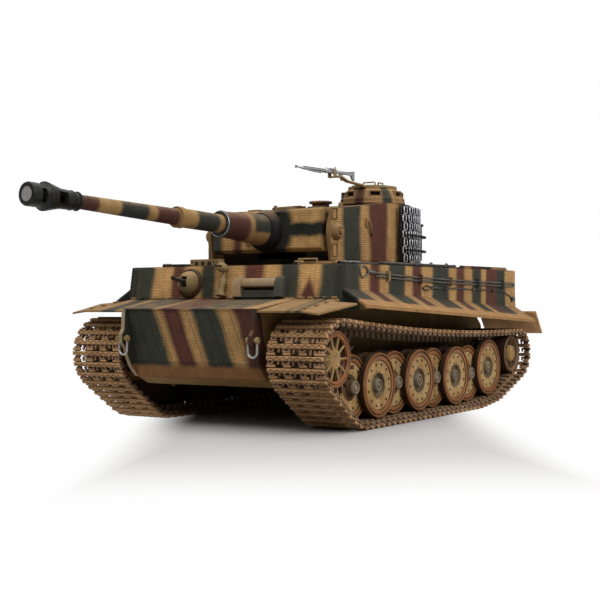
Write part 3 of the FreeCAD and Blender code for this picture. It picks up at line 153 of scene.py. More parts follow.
def bands(tree, distance, stripes, soft=3.0):
    """Painted stripes: a list of (where it starts, colour), with sprayed edges."""
    low = stripes[0][0] - 20
    high = stripes[-1][0] + 60
    place = maths(tree, "DIVIDE", maths(tree, "SUBTRACT", distance, low), high - low)
    ramp = node(tree, "ShaderNodeValToRGB")
    feed(tree, ramp.inputs[0], place)
    stops = ramp.color_ramp.elements
    edges = []
    for (start, colour), (before, last) in zip(stripes[1:], stripes):
        edges += [(start - soft / 2, last), (start + soft / 2, colour)]
    for index, (edge, tone) in enumerate(edges):
        stop = stops[index] if index < 2 else stops.new(1.0)
        stop.position = (edge - low) / (high - low)
        stop.color = (*tone, 1)
    return ramp.outputs[0]


def new_material(name):
    material = bpy.data.materials.new(name)
    material.use_nodes = True
    tree = material.node_tree
    return material, tree, tree.nodes["Principled BSDF"]


def finish_paint(tree, shader, colour, point, dust=0.35, rough=0.78, grain=0.05, metal=0.0, chips=0.0):
    """Weathering shared by every paint: mottling, dust on top, rubbed spots, matt finish, with painted shade
    in the valleys of the ridged coating and a faint painted highlight on its crests.
    """
    mottle = noise_value(tree, point, 0.11, 4.0)
    shade = mix_colour(tree, clamp_map(tree, mottle, 0.35, 0.7), (0.86, 0.85, 0.84), (1.08, 1.07, 1.05))
    colour = mix_colour(tree, 1.0, colour, shade, "MULTIPLY")
    streaks = noise_value(tree, point, 0.5, 3.0, (1, 1, 0.12))
    colour = mix_colour(tree, clamp_map(tree, streaks, 0.5, 0.8, 0.0, 0.22), colour, (0.05, 0.03, 0.015))
    speck = noise_value(tree, point, 1.7, 2.0)
    colour = mix_colour(tree, clamp_map(tree, speck, 0.62, 0.75, 0.0, 0.16), colour, DUST)
    # painted shade: the ridge relief darkens the coating's valleys and lightens its crests a little
    relief = node(tree, "ShaderNodeAttribute", attribute_name="relief")
    has_relief = relief.outputs["Alpha"]
    valley_shade = clamp_map(tree, relief.outputs["Fac"], 0.05, 0.7, 0.48, 1.08)
    shade_on_ridges = mix_colour(tree, 1.0, colour, valley_colour(tree, valley_shade), "MULTIPLY")
    colour = mix_colour(tree, has_relief, colour, shade_on_ridges)
    geometry = node(tree, "ShaderNodeNewGeometry")
    up = along(tree, geometry.outputs["Normal"], (0, 0, 1))
    settled = maths(tree, "MULTIPLY", clamp_map(tree, up, 0.3, 0.95),
                    clamp_map(tree, mottle, 0.3, 0.7, 0.3, 1.0))
    colour = mix_colour(tree, maths(tree, "MULTIPLY", settled, dust), colour, DUST)
    fine = noise_value(tree, point, 3.2, 4.0)
    if chips:
        rubbed = clamp_map(tree, fine, 0.66 - chips * 0.1, 0.72, 0.0, 1.0)
        colour = mix_colour(tree, rubbed, colour, (0.42, 0.41, 0.39))
    bump = node(tree, "ShaderNodeBump")
    bump.inputs["Strength"].default_value = 0.35
    bump.inputs["Distance"].default_value = 0.001 * grain
    feed(tree, bump.inputs["Height"], fine)
    feed(tree, shader.inputs["Normal"], bump.outputs[0])
    feed(tree, shader.inputs["Base Color"], colour)
    feed(tree, shader.inputs["Roughness"], clamp_map(tree, speck, 0.2, 0.8, rough - 0.1, rough + 0.1))
    shader.inputs["Metallic"].default_value = metal
    shader.inputs["Specular IOR Level"].default_value = 0.2


def valley_colour(tree, value):
    made = node(tree, "ShaderNodeCombineColor")
    for target in made.inputs:
        feed(tree, target, value)
    return made.outputs[0]


def wavy(tree, point, distance, amount=4.0, scale=0.035):
    """A distance bent by slow noise, so painted edges wander."""
    slow = maths(tree, "SUBTRACT", noise_value(tree, point, scale, 2.0), 0.5)
    fast = maths(tree, "SUBTRACT", noise_value(tree, point, 0.9, 2.0), 0.5)
    bent = maths(tree, "MULTIPLY_ADD", slow, amount, distance)
    return maths(tree, "MULTIPLY_ADD", fast, 2.4, bent)


def camouflage(name, direction, start, stripes, extra=None, wander=6.5, soft=4.2, **finish):
    """Striped paint along one direction; extra may paint more over it."""
    material, tree, shader = new_material(name)
    point = position(tree)
    distance = wavy(tree, point, along(tree, point, direction, start), wander)
    colour = bands(tree, distance, stripes, soft)
    if extra:
        colour = extra(tree, point, colour)
    finish_paint(tree, shader, colour, point, **finish)
    return material


def plain_paint(name, colour, second=None, spread=0.5, **finish):
    """One paint with a second tone drifting through it."""
    material, tree, shader = new_material(name)
    point = position(tree)
    drift = clamp_map(tree, noise_value(tree, point, 0.06, 3.0), 0.4, 0.65, 0.0, spread)
    finish_paint(tree, shader, mix_colour(tree, drift, colour, second or colour), point, **finish)
    return material


def steel(name, colour, rough=0.35, dirt=(0.10, 0.06, 0.03), amount=0.6):
    """Bare metal with grime in patches."""
    material, tree, shader = new_material(name)
    point = position(tree)
    grime = clamp_map(tree, noise_value(tree, point, 0.55, 4.0), 0.45, 0.68, 0.0, amount)
    feed(tree, shader.inputs["Base Color"], mix_colour(tree, grime, colour, dirt))
    feed(tree, shader.inputs["Metallic"], maths(tree, "SUBTRACT", 0.95, grime))
    feed(tree, shader.inputs["Roughness"], maths(tree, "MULTIPLY_ADD", grime, 0.5, rough))
    return material


SIDE_STRIPES = [
    (-124, GREEN), (-98.5, TAN), (-84, RED), (-70, TAN), (-56.7, GREEN), (-30, TAN), (-18, RED),
    (-2.3, TAN), (16.3, GREEN), (45.4, TAN), (59.3, RED), (74.7, TAN), (90.6, GREEN), (108.3, TAN),
    (118.1, RED), (141, GREEN), (160, TAN)]
FRONT_STRIPES = [
    (-96, GREEN), (-73.6, TAN), (-55.4, RED), (-43.7, TAN), (-27.3, GREEN), (-14.2, TAN), (11.9, RED),
    (29.3, TAN), (43.7, GREEN), (60.4, TAN), (76.7, GREEN)]
NOSE_STRIPES = [
    (-58, GREEN), (-31.3, TAN), (-24.3, RED), (-8.1, TAN), (2.1, GREEN), (24.4, TAN), (38.6, RED),
    (57, GREEN)]
GLACIS_STRIPES = [(-70, GREEN), (-31, TAN), (-26, RED), (6, GREEN), (47, TAN), (60, RED), (75, TAN)]
TURRET_STRIPES = [
    (-95, TAN), (-63, GREEN), (-40.5, TAN), (-28, RED), (-4.2, TAN), (13, GREEN), (34, TAN),
    (46, RED), (66, TAN)]
MANTLET_STRIPES = [(-54, GREEN), (-43.7, TAN), (-32.8, RED), (-24.3, YELLOW_TAN)]
GUN_STRIPES = [
    (-212, RED), (-194.7, YELLOW_TAN), (-175, GREEN), (-149, TAN), (-140.6, RED), (-118, YELLOW_TAN),
    (-100, GREEN), (-77, TAN), (-71, RED)]


def skirt_edge(tree, point, colour):
    """The skirts' outer edge is left in the plain ground colour."""
    out = maths(tree, "ABSOLUTE", along(tree, point, (1, 0, 0)))
    edge = clamp_map(tree, maths(tree, "MULTIPLY_ADD", noise_value(tree, point, 0.35), 3.0, out), 109.6,
                     111.6)
    return mix_colour(tree, edge, colour, (0.42, 0.22, 0.078))


def nose_foot(tree, point, colour):
    """The nose's lower part is left in the plain ground colour."""
    height = maths(tree, "MULTIPLY_ADD", noise_value(tree, point, 0.3), 5.0, along(tree, point, (0, 0, 1)))
    return mix_colour(tree, clamp_map(tree, height, 45.5, 49.0), ORANGE_TAN, colour)


def front_patches(tree, point, colour):
    """A red-brown wedge low on the left of the driver's plate, and a dark patch behind the lamp that is
    partly sooty overspray and partly painted shadow of the lamp.
    """
    across = maths(tree, "ABSOLUTE", maths(tree, "SUBTRACT", along(tree, point, (1, 0, 0)), 68.5))
    height = along(tree, point, (0, 0, 1))
    reach = maths(tree, "MULTIPLY_ADD", height, -0.5, 54.0)
    inside = clamp_map(tree, maths(tree, "SUBTRACT", reach, across), -2.5, 3.0)
    colour = mix_colour(tree, inside, colour, RED)
    # dark patch behind the lamp: sooty overspray plus painted shadow cast by the lamp
    lamp_soot_and_shadow_distance = node(tree, "ShaderNodeVectorMath", operation="LENGTH")
    feed(tree, lamp_soot_and_shadow_distance.inputs[0], vector_between(tree, point, (1.5, -61.0, 108.0)))
    reach = maths(tree, "MULTIPLY_ADD", noise_value(tree, point, 0.25), 4.0, lamp_soot_and_shadow_distance.outputs["Value"])
    soot_and_lamp_shadow = clamp_map(tree, reach, 5.0, 11.0, 0.75, 0.0)
    return mix_colour(tree, soot_and_lamp_shadow, colour, DARK)


def mantlet_patches(tree, point, colour):
    """Near-black round the gun's boss and in a band towards the left trunnion: dark green paint deepened into
    painted shadow of the boss and sleeve.
    """
    axis = GUN.to_3x3() @ Vector((1, 0, 0))
    upright = GUN.to_3x3() @ Vector((0, 0, 1))
    start = GUN.translation
    across = wavy(tree, point, along(tree, point, axis, start), 5.0, 0.06)
    up = wavy(tree, point, along(tree, point, upright, start), 4.0, 0.06)
    blob = maths(tree, "SQRT", maths(tree, "ADD", maths(tree, "POWER", maths(tree, "ABSOLUTE", across), 2.0),
                                     maths(tree, "POWER", maths(tree, "ABSOLUTE", up), 2.0)))
    near = clamp_map(tree, blob, 22.0, 31.0, 1.0, 0.0)
    band = maths(tree, "MULTIPLY", clamp_map(tree, maths(tree, "ABSOLUTE", up), 3.0, 7.5, 1.0, 0.0),
                 clamp_map(tree, across, 4.0, 10.0))
    # near-black mask: dark green paint deepened into painted shadow of the boss and sleeve
    painted = maths(tree, "MAXIMUM", maths(tree, "MULTIPLY", near, clamp_map(tree, across, -9.0, -3.0)), band)
    return mix_colour(tree, painted, colour, (0.008, 0.009, 0.006))


def sleeve_patches(tree, point, colour):
    """The sleeve's sides are dark green over a tan underside; the boss behind the sleeve is near-black,
    painted shade.
    """
    upright = GUN.to_3x3() @ Vector((0, 0, 1))
    forward = GUN.to_3x3() @ Vector((0, 1, 0))
    start = GUN.translation
    reach = wavy(tree, point, along(tree, point, forward, start), 3.0, 0.06)
    up = wavy(tree, point, along(tree, point, upright, start), 5.0, 0.06)
    upper = maths(tree, "MULTIPLY", clamp_map(tree, up, -4.5, -1.5), clamp_map(tree, reach, -42.0, -38.5))
    # near-black boss: painted shade behind the sleeve
    boss = clamp_map(tree, reach, -25.0, -22.0)
    colour = mix_colour(tree, upper, colour, GREEN)
    return mix_colour(tree, boss, colour, (0.0008, 0.0008, 0.0006))


def cupola_patches(tree, point, colour):
    """Red-brown and green wedges round the cupola."""
    middle = CUPOLA.translation
    x = along(tree, point, (1, 0, 0), middle)
    y = along(tree, point, (0, 1, 0), middle)
    turn = maths(tree, "ARCTAN2", y, x)
    for low, high, tone in ((-1.62, -1.32, RED), (-0.75, -0.42, GREEN), (0.3, 0.8, RED), (1.5, 2.0, GREEN),
                            (2.6, 3.0, RED), (-2.6, -2.2, GREEN)):
        wedge = maths(tree, "MULTIPLY", clamp_map(tree, turn, low - 0.06, low + 0.06),
                      clamp_map(tree, turn, high - 0.06, high + 0.06, 1.0, 0.0))
        colour = mix_colour(tree, wedge, colour, tone)
    return colour


def stripes_with_painted_light(stripes, strength):
    """The same stripes scaled by a factor: above one it paints light onto a surface, below one it paints
    shade.
    """
    return [(start, tuple(strength * part for part in tone)) for start, tone in stripes]


TURRET_ALONG = TURRET.to_3x3() @ Vector((0, 1, 0))
TURRET_ACROSS = TURRET.to_3x3() @ Vector((1, 0, 0))
GUN_ALONG = GUN.to_3x3() @ Vector((0, 1, 0))

side_paint = camouflage("side_camouflage", (0, 1, 0), HULL_SHIFT, SIDE_STRIPES)
skirt_paint = camouflage("skirt_camouflage", (0, 1, 0), HULL_SHIFT, SIDE_STRIPES, skirt_edge, dust=0.06)
deck_paint = camouflage("deck_camouflage", (0.22, 1, 0), HULL_SHIFT, SIDE_STRIPES, wander=26.0, dust=0.6)
# front plate and glacis stripes are scaled lighter: painted light on these plates
front_paint = camouflage("front_camouflage", (1, 0, 0), (0, 0, 0), stripes_with_painted_light(FRONT_STRIPES, 1.3), front_patches)
glacis_paint = camouflage("glacis_camouflage", (1, 0, 0), (0, 0, 0), stripes_with_painted_light(GLACIS_STRIPES, 1.2), wander=6.0,
                          dust=0.3)
nose_paint = camouflage("nose_camouflage", (1, 0, 0.22), (0, 0, 83.8), NOSE_STRIPES, nose_foot)
rear_paint = camouflage("rear_camouflage", (1, 0, 0), (0, 0, 0), FRONT_STRIPES, wander=8.0)
# turret stripes are scaled darker: painted shade on the turret wall
turret_paint = camouflage("turret_camouflage", TURRET_ALONG, TURRET.translation, stripes_with_painted_light(TURRET_STRIPES, 0.85))
mantlet_paint = camouflage("mantlet_camouflage", TURRET_ACROSS, TURRET.translation, MANTLET_STRIPES,
                           mantlet_patches)
gun_paint = camouflage("gun_camouflage", GUN_ALONG, GUN.translation, GUN_STRIPES, wander=4.0, soft=3.0)
sleeve_paint = camouflage("sleeve_camouflage", GUN_ALONG, GUN.translation, [(-75, RED), (-45, TAN)],
                          sleeve_patches, wander=3.0)
cupola_paint = camouflage("cupola_camouflage", (1, 0, 0), (0, 0, 0), [(-300, TAN), (-200, TAN)],
                          cupola_patches)
bin_paint = camouflage("bin_camouflage", TURRET_ACROSS, TURRET.translation,
                       [(-40, GREEN), (-18, TAN), (-6, RED), (12, TAN), (24, GREEN)], wander=6.0)
tan_paint = plain_paint("tan_paint", (0.36, 0.25, 0.11), YELLOW_TAN, dust=0.2)
collar_paint = plain_paint("collar_paint", (0.10, 0.045, 0.022), (0.05, 0.035, 0.02), dust=0.1)
hub_brown = plain_paint("hub_brown", (0.11, 0.055, 0.02), (0.18, 0.09, 0.035), dust=0.1)
dark_gun = plain_paint("dark_gun", (0.03, 0.024, 0.018), (0.05, 0.035, 0.022), dust=0.2, rough=0.45)
track_groove = plain_paint("track_groove", (0.035, 0.018, 0.008), (0.06, 0.03, 0.012), dust=0.0)
tub_paint = plain_paint("tub_paint", (0.32, 0.19, 0.055), ORANGE_TAN, 0.4, dust=0.2)
fender_paint = camouflage("fender_camouflage", (1, 0.15, 0), (0, 0, 0),
                          [(-118, TAN), (-97, GREEN), (-85, TAN), (66, TAN), (64, GREEN), (76, TAN)],
                          wander=8.0, dust=0.1)
# rear guards: their own orange paint, raised far above the other tans as painted light where they sit in
# shade
guard_paint_with_light = plain_paint("rear_guard_orange_painted_light", (0.75, 0.42, 0.19), (0.58, 0.31, 0.12), dust=0.1)
brake_paint = plain_paint("brake_paint", (0.009, 0.010, 0.006), (0.016, 0.018, 0.010), dust=0.0, rough=0.4)
visor_green = plain_paint("visor_green", (0.085, 0.085, 0.065), GREEN, dust=0.5)
visor_tan = plain_paint("visor_tan", (0.44, 0.33, 0.20), TAN, dust=0.3)
track_paint = plain_paint("track_rust", (0.64, 0.37, 0.17), (0.48, 0.25, 0.10), 0.9, dust=0.15, rough=0.72)
track_edge = plain_paint("track_worn_edges", (0.46, 0.27, 0.15), (0.24, 0.13, 0.06), 0.8, dust=0.2, rough=0.5)
horn_paint = plain_paint("horn_dust", (0.30, 0.18, 0.10), (0.19, 0.105, 0.055), 0.8, dust=0.2)
rim_paint = plain_paint("rim_rust", (0.38, 0.145, 0.04), (0.24, 0.088, 0.024), 0.7, dust=0.1, rough=0.5)
disc_paint = plain_paint("disc_cream", (0.56, 0.36, 0.15), (0.42, 0.225, 0.07), 0.8, dust=0.2)
tyre_paint = plain_paint("tyre_face", (0.045, 0.02, 0.008), (0.08, 0.034, 0.012), 0.8, dust=0.2)
hub_paint = plain_paint("hub_grey", (0.13, 0.083, 0.036), (0.26, 0.16, 0.065), 0.8, dust=0.2, rough=0.55,
                        chips=0.2)
cap_metal = plain_paint("cap_metal", (0.25, 0.19, 0.12), (0.36, 0.28, 0.185), 0.8, dust=0.1, rough=0.5)
bright_steel = steel("bright_steel", (0.34, 0.33, 0.31), 0.3, (0.05, 0.04, 0.03), 0.45)
gun_metal = steel("gun_metal", (0.46, 0.46, 0.48), 0.36, (0.03, 0.03, 0.034), 0.7)
cable_metal = steel("cable_metal", (0.13, 0.12, 0.105), 0.4, (0.02, 0.016, 0.012), 0.65)
black_tool = plain_paint("black_tools", (0.014, 0.013, 0.013), (0.03, 0.026, 0.022), dust=0.15, rough=0.45,
                         chips=0.9)
worn_tool = steel("worn_tool", (0.30, 0.30, 0.30), 0.4, (0.015, 0.014, 0.013), 0.9)
spare_black = plain_paint("spare_link_black", (0.010, 0.010, 0.011), (0.02, 0.02, 0.02), dust=0.02, rough=0.4)
spare_edge = steel("spare_link_edges", (0.52, 0.53, 0.56), 0.4, (0.02, 0.02, 0.022), 0.75)
# near-black stand-in for openings: painted shade in slits, holes, wells and lug hollows
opening_shade = plain_paint("opening_shade", DARK, dust=0.0, rough=0.9)
board_green = plain_paint("circuit_board", (0.02, 0.12, 0.05), (0.01, 0.08, 0.03), dust=0.0, rough=0.4)
black_plastic = plain_paint("black_plastic", (0.02, 0.02, 0.022), (0.03, 0.03, 0.032), dust=0.0, rough=0.5)
battery_wrap = plain_paint("battery_wrap", (0.03, 0.09, 0.25), (0.02, 0.07, 0.2), dust=0.0, rough=0.35)
bore_grey = plain_paint("bore_grey", (0.35, 0.34, 0.33), dust=0.0, rough=0.6)

# ---------------------------------------------------------------- shape building


def lathe(profile, count=48):
    """Revolve (along, radius) points about the x axis; a zero radius closes an end."""
    points = []
    faces = []
    rings = []
    for reach, radius in profile:
        if radius < 1e-6:
            rings.append([len(points)] * count)
            points.append((reach, 0, 0))
            continue
        rings.append(list(range(len(points), len(points) + count)))
        for index in range(count):
            turn = 2 * math.pi * index / count
            points.append((reach, radius * math.cos(turn), radius * math.sin(turn)))
    for first, second in zip(rings, rings[1:]):
        for index in range(count):
            after = (index + 1) % count
            corners = [first[index], first[after], second[after], second[index]]
            face = [corner for place, corner in enumerate(corners) if corner not in corners[:place]]
            if len(face) > 2:
                faces.append(face)
    return points, faces


def prism(outline, low, high, taper=1.0):
    """An outline of (x, y) points between two heights."""
    count = len(outline)
    points = [(x, y, low) for x, y in outline] + [(x * taper, y * taper, high) for x, y in outline]
    faces = [list(range(count))[::-1], list(range(count, 2 * count))]
    for index in range(count):
        after = (index + 1) % count
        faces.append([index, after, count + after, count + index])
    return points, faces


def slab(x_low, x_high, y_low, y_high, z_low, z_high, chamfer=0.0):
    """A block whose edges are all chamfered."""
    middle = Vector(((x_low + x_high) / 2, (y_low + y_high) / 2, (z_low + z_high) / 2))
    half = Vector(((x_high - x_low) / 2, (y_high - y_low) / 2, (z_high - z_low) / 2))
    cut = min(chamfer, *(0.45 * part for part in half))
    if cut <= 0:
        corners = [middle + Vector((x * half.x, y * half.y, z * half.z))
                   for x in (-1, 1) for y in (-1, 1) for z in (-1, 1)]
        return corners, [[0, 1, 3, 2], [4, 6, 7, 5], [0, 4, 5, 1], [2, 3, 7, 6], [0, 2, 6, 4], [1, 5, 7, 3]]
    rings = []
    points = []
    for height, inset in ((-half.z, cut), (-half.z + cut, 0), (half.z - cut, 0), (half.z, cut)):
        x = half.x - inset
        y = half.y - inset
        ring = [(-x + cut, -y), (x - cut, -y), (x, -y + cut), (x, y - cut), (x - cut, y), (-x + cut, y),
                (-x, y - cut), (-x, -y + cut)]
        rings.append(list(range(len(points), len(points) + 8)))
        points += [middle + Vector((px, py, height)) for px, py in ring]
    faces = [rings[0][::-1], rings[-1]]
    for first, second in zip(rings, rings[1:]):
        faces += [[first[i], first[(i + 1) % 8], second[(i + 1) % 8], second[i]] for i in range(8)]
    return points, faces


def tube(path, radius, sides=10, closed=False):
    """A round bar along a list of points."""
    path = [Vector(point) for point in path]
    points = []
    faces = []
    count = len(path)
    normal = None
    for index, centre in enumerate(path):
        before = path[index - 1] if index or closed else centre
        after = path[(index + 1) % count] if index < count - 1 or closed else centre
        heading = (after - before).normalized()
        if normal is None:
            normal = heading.orthogonal().normalized()
        normal = (normal - heading * normal.dot(heading)).normalized()
        across = heading.cross(normal)
        size = radius(index / (count - 1)) if callable(radius) else radius
        for side in range(sides):
            turn = 2 * math.pi * side / sides
            points.append(centre + (normal * math.cos(turn) + across * math.sin(turn)) * size)
    for index in range(count if closed else count - 1):
        after = (index + 1) % count
        for side in range(sides):
            beyond = (side + 1) % sides
            faces.append([index * sides + side, index * sides + beyond, after * sides + beyond,
                          after * sides + side])
    if not closed:
        faces += [list(range(sides))[::-1], list(range((count - 1) * sides, count * sides))]
    return points, faces


def ring(radius, thickness, count=48, sides=8):
    """A closed round bar about the x axis."""
    path = [(0, radius * math.cos(2 * math.pi * i / count), radius * math.sin(2 * math.pi * i / count))
            for i in range(count)]
    return tube(path, thickness, sides, closed=True)


def bolt(radius=0.7, height=0.5):
    """A hexagon bolt head standing on z = 0."""
    outline = [(radius * math.cos(math.pi * i / 3), radius * math.sin(math.pi * i / 3)) for i in range(6)]
    return prism(outline, 0, height, 0.9)


def dome(radius=0.7, height=0.4, count=12):
    """A rivet head standing on z = 0."""
    profile = [(0, radius), (height * 0.55, radius * 0.82), (height * 0.9, radius * 0.4), (height, 0)]
    points, faces = lathe(profile, count)
    return [(y, z, x) for x, y, z in points], faces


def swapped(geometry, order):
    """Give each point's coordinates a new order, such as "yzx"; a capital turns the sign."""
    points, faces = geometry
    columns = ["xyz".index(letter.lower()) for letter in order]
    signs = [-1 if letter.isupper() else 1 for letter in order]
    return [tuple(sign * point[column] for column, sign in zip(columns, signs)) for point in points], faces


class Shape:
    """Points and faces of one piece, with a paint number for each face."""

    def __init__(self):
        self.points = []
        self.faces = []
        self.tones = []

    def add(self, geometry, move=None, tone=0):
        points, faces = geometry
        start = len(self.points)
        move = move or Matrix.Identity(4)
        self.points += [move @ Vector(point) for point in points]
        self.faces += [[start + corner for corner in face] for face in faces]
        self.tones += [tone] * len(faces)
        return self

    def add_turned(self, count, *stack):
        """Add lathed profiles, given as (paint number, profile) pairs."""
        for tone, profile in stack:
            self.add(lathe(profile, count), tone=tone)

    def add_shape(self, other, move):
        """Repeat a whole Shape, keeping its paint numbers."""
        start = len(self.points)
        self.points += [move @ point for point in other.points]
        self.faces += [[start + corner for corner in face] for face in other.faces]
        self.tones += other.tones


def piece(name, body, shape, materials, place=HULL, sharp=35, bevel=0.0):
    """Make one object from a Shape in millimetres of a frame, riding on a CAD body."""
    mesh = bpy.data.meshes.new(name)
    move = METRES @ place
    mesh.from_pydata([move @ point for point in shape.points], [], shape.faces)
    for face, tone in zip(mesh.polygons, shape.tones):
        face.material_index = tone
    tidy = bmesh.new()
    tidy.from_mesh(mesh)
    bmesh.ops.recalc_face_normals(tidy, faces=tidy.faces)
    tidy.to_mesh(mesh)
    tidy.free()
    mesh.shade_smooth()
    mesh.set_sharp_from_angle(angle=math.radians(sharp))
    made = bpy.data.objects.new(name, mesh)
    bpy.context.scene.collection.objects.link(made)
    for material in materials if isinstance(materials, (list, tuple)) else [materials]:
        mesh.materials.append(material)
    if bevel:
        modifier = made.modifiers.new("edges", "BEVEL")
        modifier.width = bevel * 0.001
        modifier.segments = 2
        modifier.limit_method = "ANGLE"
        modifier.angle_limit = math.radians(40)
    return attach(made, body)


def paint(name, *materials):
    """Give a CAD node its finish."""
    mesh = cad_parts[name].data
    mesh.materials.clear()
    for material in materials:
        mesh.materials.append(material)
    mesh.shade_smooth()
    mesh.set_sharp_from_angle(angle=math.radians(30))


def at(x, y, z):
    return Matrix.Translation((x, y, z))


def facing(direction):
    """Turn +z to a direction."""
    return Vector(direction).to_track_quat("Z", "Y").to_matrix().to_4x4()


def spun(angle, axis="X"):
    return Matrix.Rotation(angle, 4, axis)


# ---------------------------------------------------------------- ridged paste on the armour

def ridged_sheet(name, body, surface, length, low, high, material, place=HULL, floor=None, ceiling=None,
                 pitch=1.18, column=10.5, step=1.0, depth=0.24, seed=0.0, sink=0.15, joint=0.5, slant=0.0):
    """Rows of horizontal ridges in upright columns; surface(along, up, out) gives a point."""
    columns = max(2, round(length / step))
    rows = max(4, round((high - low) / pitch * 4))
    points = []
    relief = []
    grid = {}
    for i in range(columns + 1):
        u = length * i / columns
        least = floor(u) if floor else low
        most = ceiling(u) if ceiling else high
        strip = math.floor((u + 1.6 * noise.noise(Vector((u * 0.05, seed, 7)))) / column)
        lag = noise.noise(Vector((strip * 3.7, seed, 1.3))) * 1.4
        for j in range(rows + 1):
            v = min(max(low + (high - low) * j / rows, least), most)
            in_strip = ((u + slant * v) / column) % 1.0
            gap = min(1.0, min(in_strip, 1 - in_strip) * column / 0.9)
            wobble = 0.28 * noise.noise(Vector((u * 0.22, v * 0.22, seed)))
            wave = 0.5 + 0.5 * math.cos(2 * math.pi * (v / pitch + lag + wobble))
            break_up = 0.75 + 0.5 * noise.noise(Vector((u * 0.55, v * 0.9, seed + 3)))
            out = depth * wave * break_up * (1 - joint + joint * gap)
            edge = i in (0, columns) or v <= least or v >= most
            grid[i, j] = len(points)
            points.append(surface(u, v, -sink if edge else 0.05 + out))
            # sunk sheet edges get a low relief value, which paints shade along them
            relief.append(0.4 if edge else min(1.0, out / depth))
    faces = []
    for i in range(columns):
        for j in range(rows):
            corners = [grid[i, j], grid[i + 1, j], grid[i + 1, j + 1], grid[i, j + 1]]
            height = max((points[corner] - points[corners[0]]).length for corner in corners[1:])
            if (points[corners[0]] - points[corners[3]]).length > 1e-4 and height > 1e-4:
                faces.append(corners)
    shape = Shape().add((points, faces))
    made = piece(name, body, shape, material, place, sharp=75)
    # the relief values feed the painted shade of the valleys in the paints
    field = made.data.attributes.new("relief", "FLOAT", "POINT")
    field.data.foreach_set("value", relief)
    return made


def skirt_fold(y):
    return 99.9 - 0.0508 * (y + 124.0)


def roof_line(y):
    return 169.0 - max(0.0, 2.0 - y) * 0.113


def turret_path(front=78.0):
    """Where the turret wall runs: a length and a function from length to point and normal."""
    radius = 63.0
    cheek_run = front + 15.0
    slope = 2.6 / 95.0
    arc = math.pi * radius

    def spot(u):
        if u < cheek_run:
            y = -front + u
            return Vector((radius - 2.6 + slope * (y + 80), y, 0)), Vector((1, -slope, 0)).normalized()
        if u < cheek_run + arc:
            turn = (u - cheek_run) / radius
            normal = Vector((math.cos(turn), math.sin(turn), 0))
            return Vector((0, 15, 0)) + normal * radius, normal
        y = 15 - (u - cheek_run - arc)
        return Vector((-(radius - 2.6 + slope * (y + 80)), y, 0)), Vector((-1, -slope, 0)).normalized()

    return 2 * cheek_run + arc, spot


def armour_paste():
    """Ridged coating on the hull sides, driver's plate, nose, rear plate, turret and mantlet."""
    for name, side in SIDES:
        ridged_sheet("side_ridges_" + name, "hull",
                     lambda u, v, out, side=side: Vector((side * (96.3 + out), -119.0 + u, v)),
                     302.0, 82.8, 116.6, side_paint, floor=lambda u: skirt_fold(-119.0 + u) - 0.4,
                     seed=side * 5.0)
    ridged_sheet("driver_plate_ridges", "hull", lambda u, v, out: Vector((-95.6 + u, -out, v)), 191.2,
                 0.6, 24.6, front_paint, FRONT_PLATE, seed=11.0)
    nose_lean = Vector((0, 11.2, -48.0)).normalized()
    nose_out = Vector((0, -48.0, -11.2)).normalized()
    top = Vector((-55.6, -173.95, 84.4))
    ridged_sheet("nose_ridges", "hull",
                 lambda u, v, out: top + Vector((u, 0, 0)) + nose_lean * (48.0 - v) + nose_out * out,
                 111.2, 10.0, 48.0, nose_paint, column=9.3, step=0.55, depth=0.2, seed=17.0, joint=0.95,
                 slant=0.24)
    length, spot = turret_path()

    def wall(u, v, out):
        point, normal = spot(u)
        return point + normal * out + Vector((0, 0, v))

    ridged_sheet("turret_ridges", "turret", wall, length, 122.0, 168.4, turret_paint, TURRET,
                 ceiling=lambda u: roof_line(spot(u)[0].y) - 0.6, pitch=1.4, column=12.5, seed=23.0)
    ridged_sheet("mantlet_ridges", "mantlet", lambda u, v, out: Vector((-53.0 + u, -14.6 - out, v)),
                 106.0, -14.2, 14.2, mantlet_paint, GUN, pitch=1.3, column=9.5, seed=29.0)
    ridged_sheet("rear_plate_ridges", "hull",
                 lambda u, v, out: Vector((-95.0 + u, 184.0 - (v - 84.4) / 32.8 * 3.0 + out, v)),
                 190.0, 85.0, 116.6, rear_paint, seed=37.0)


# ---------------------------------------------------------------- running gear

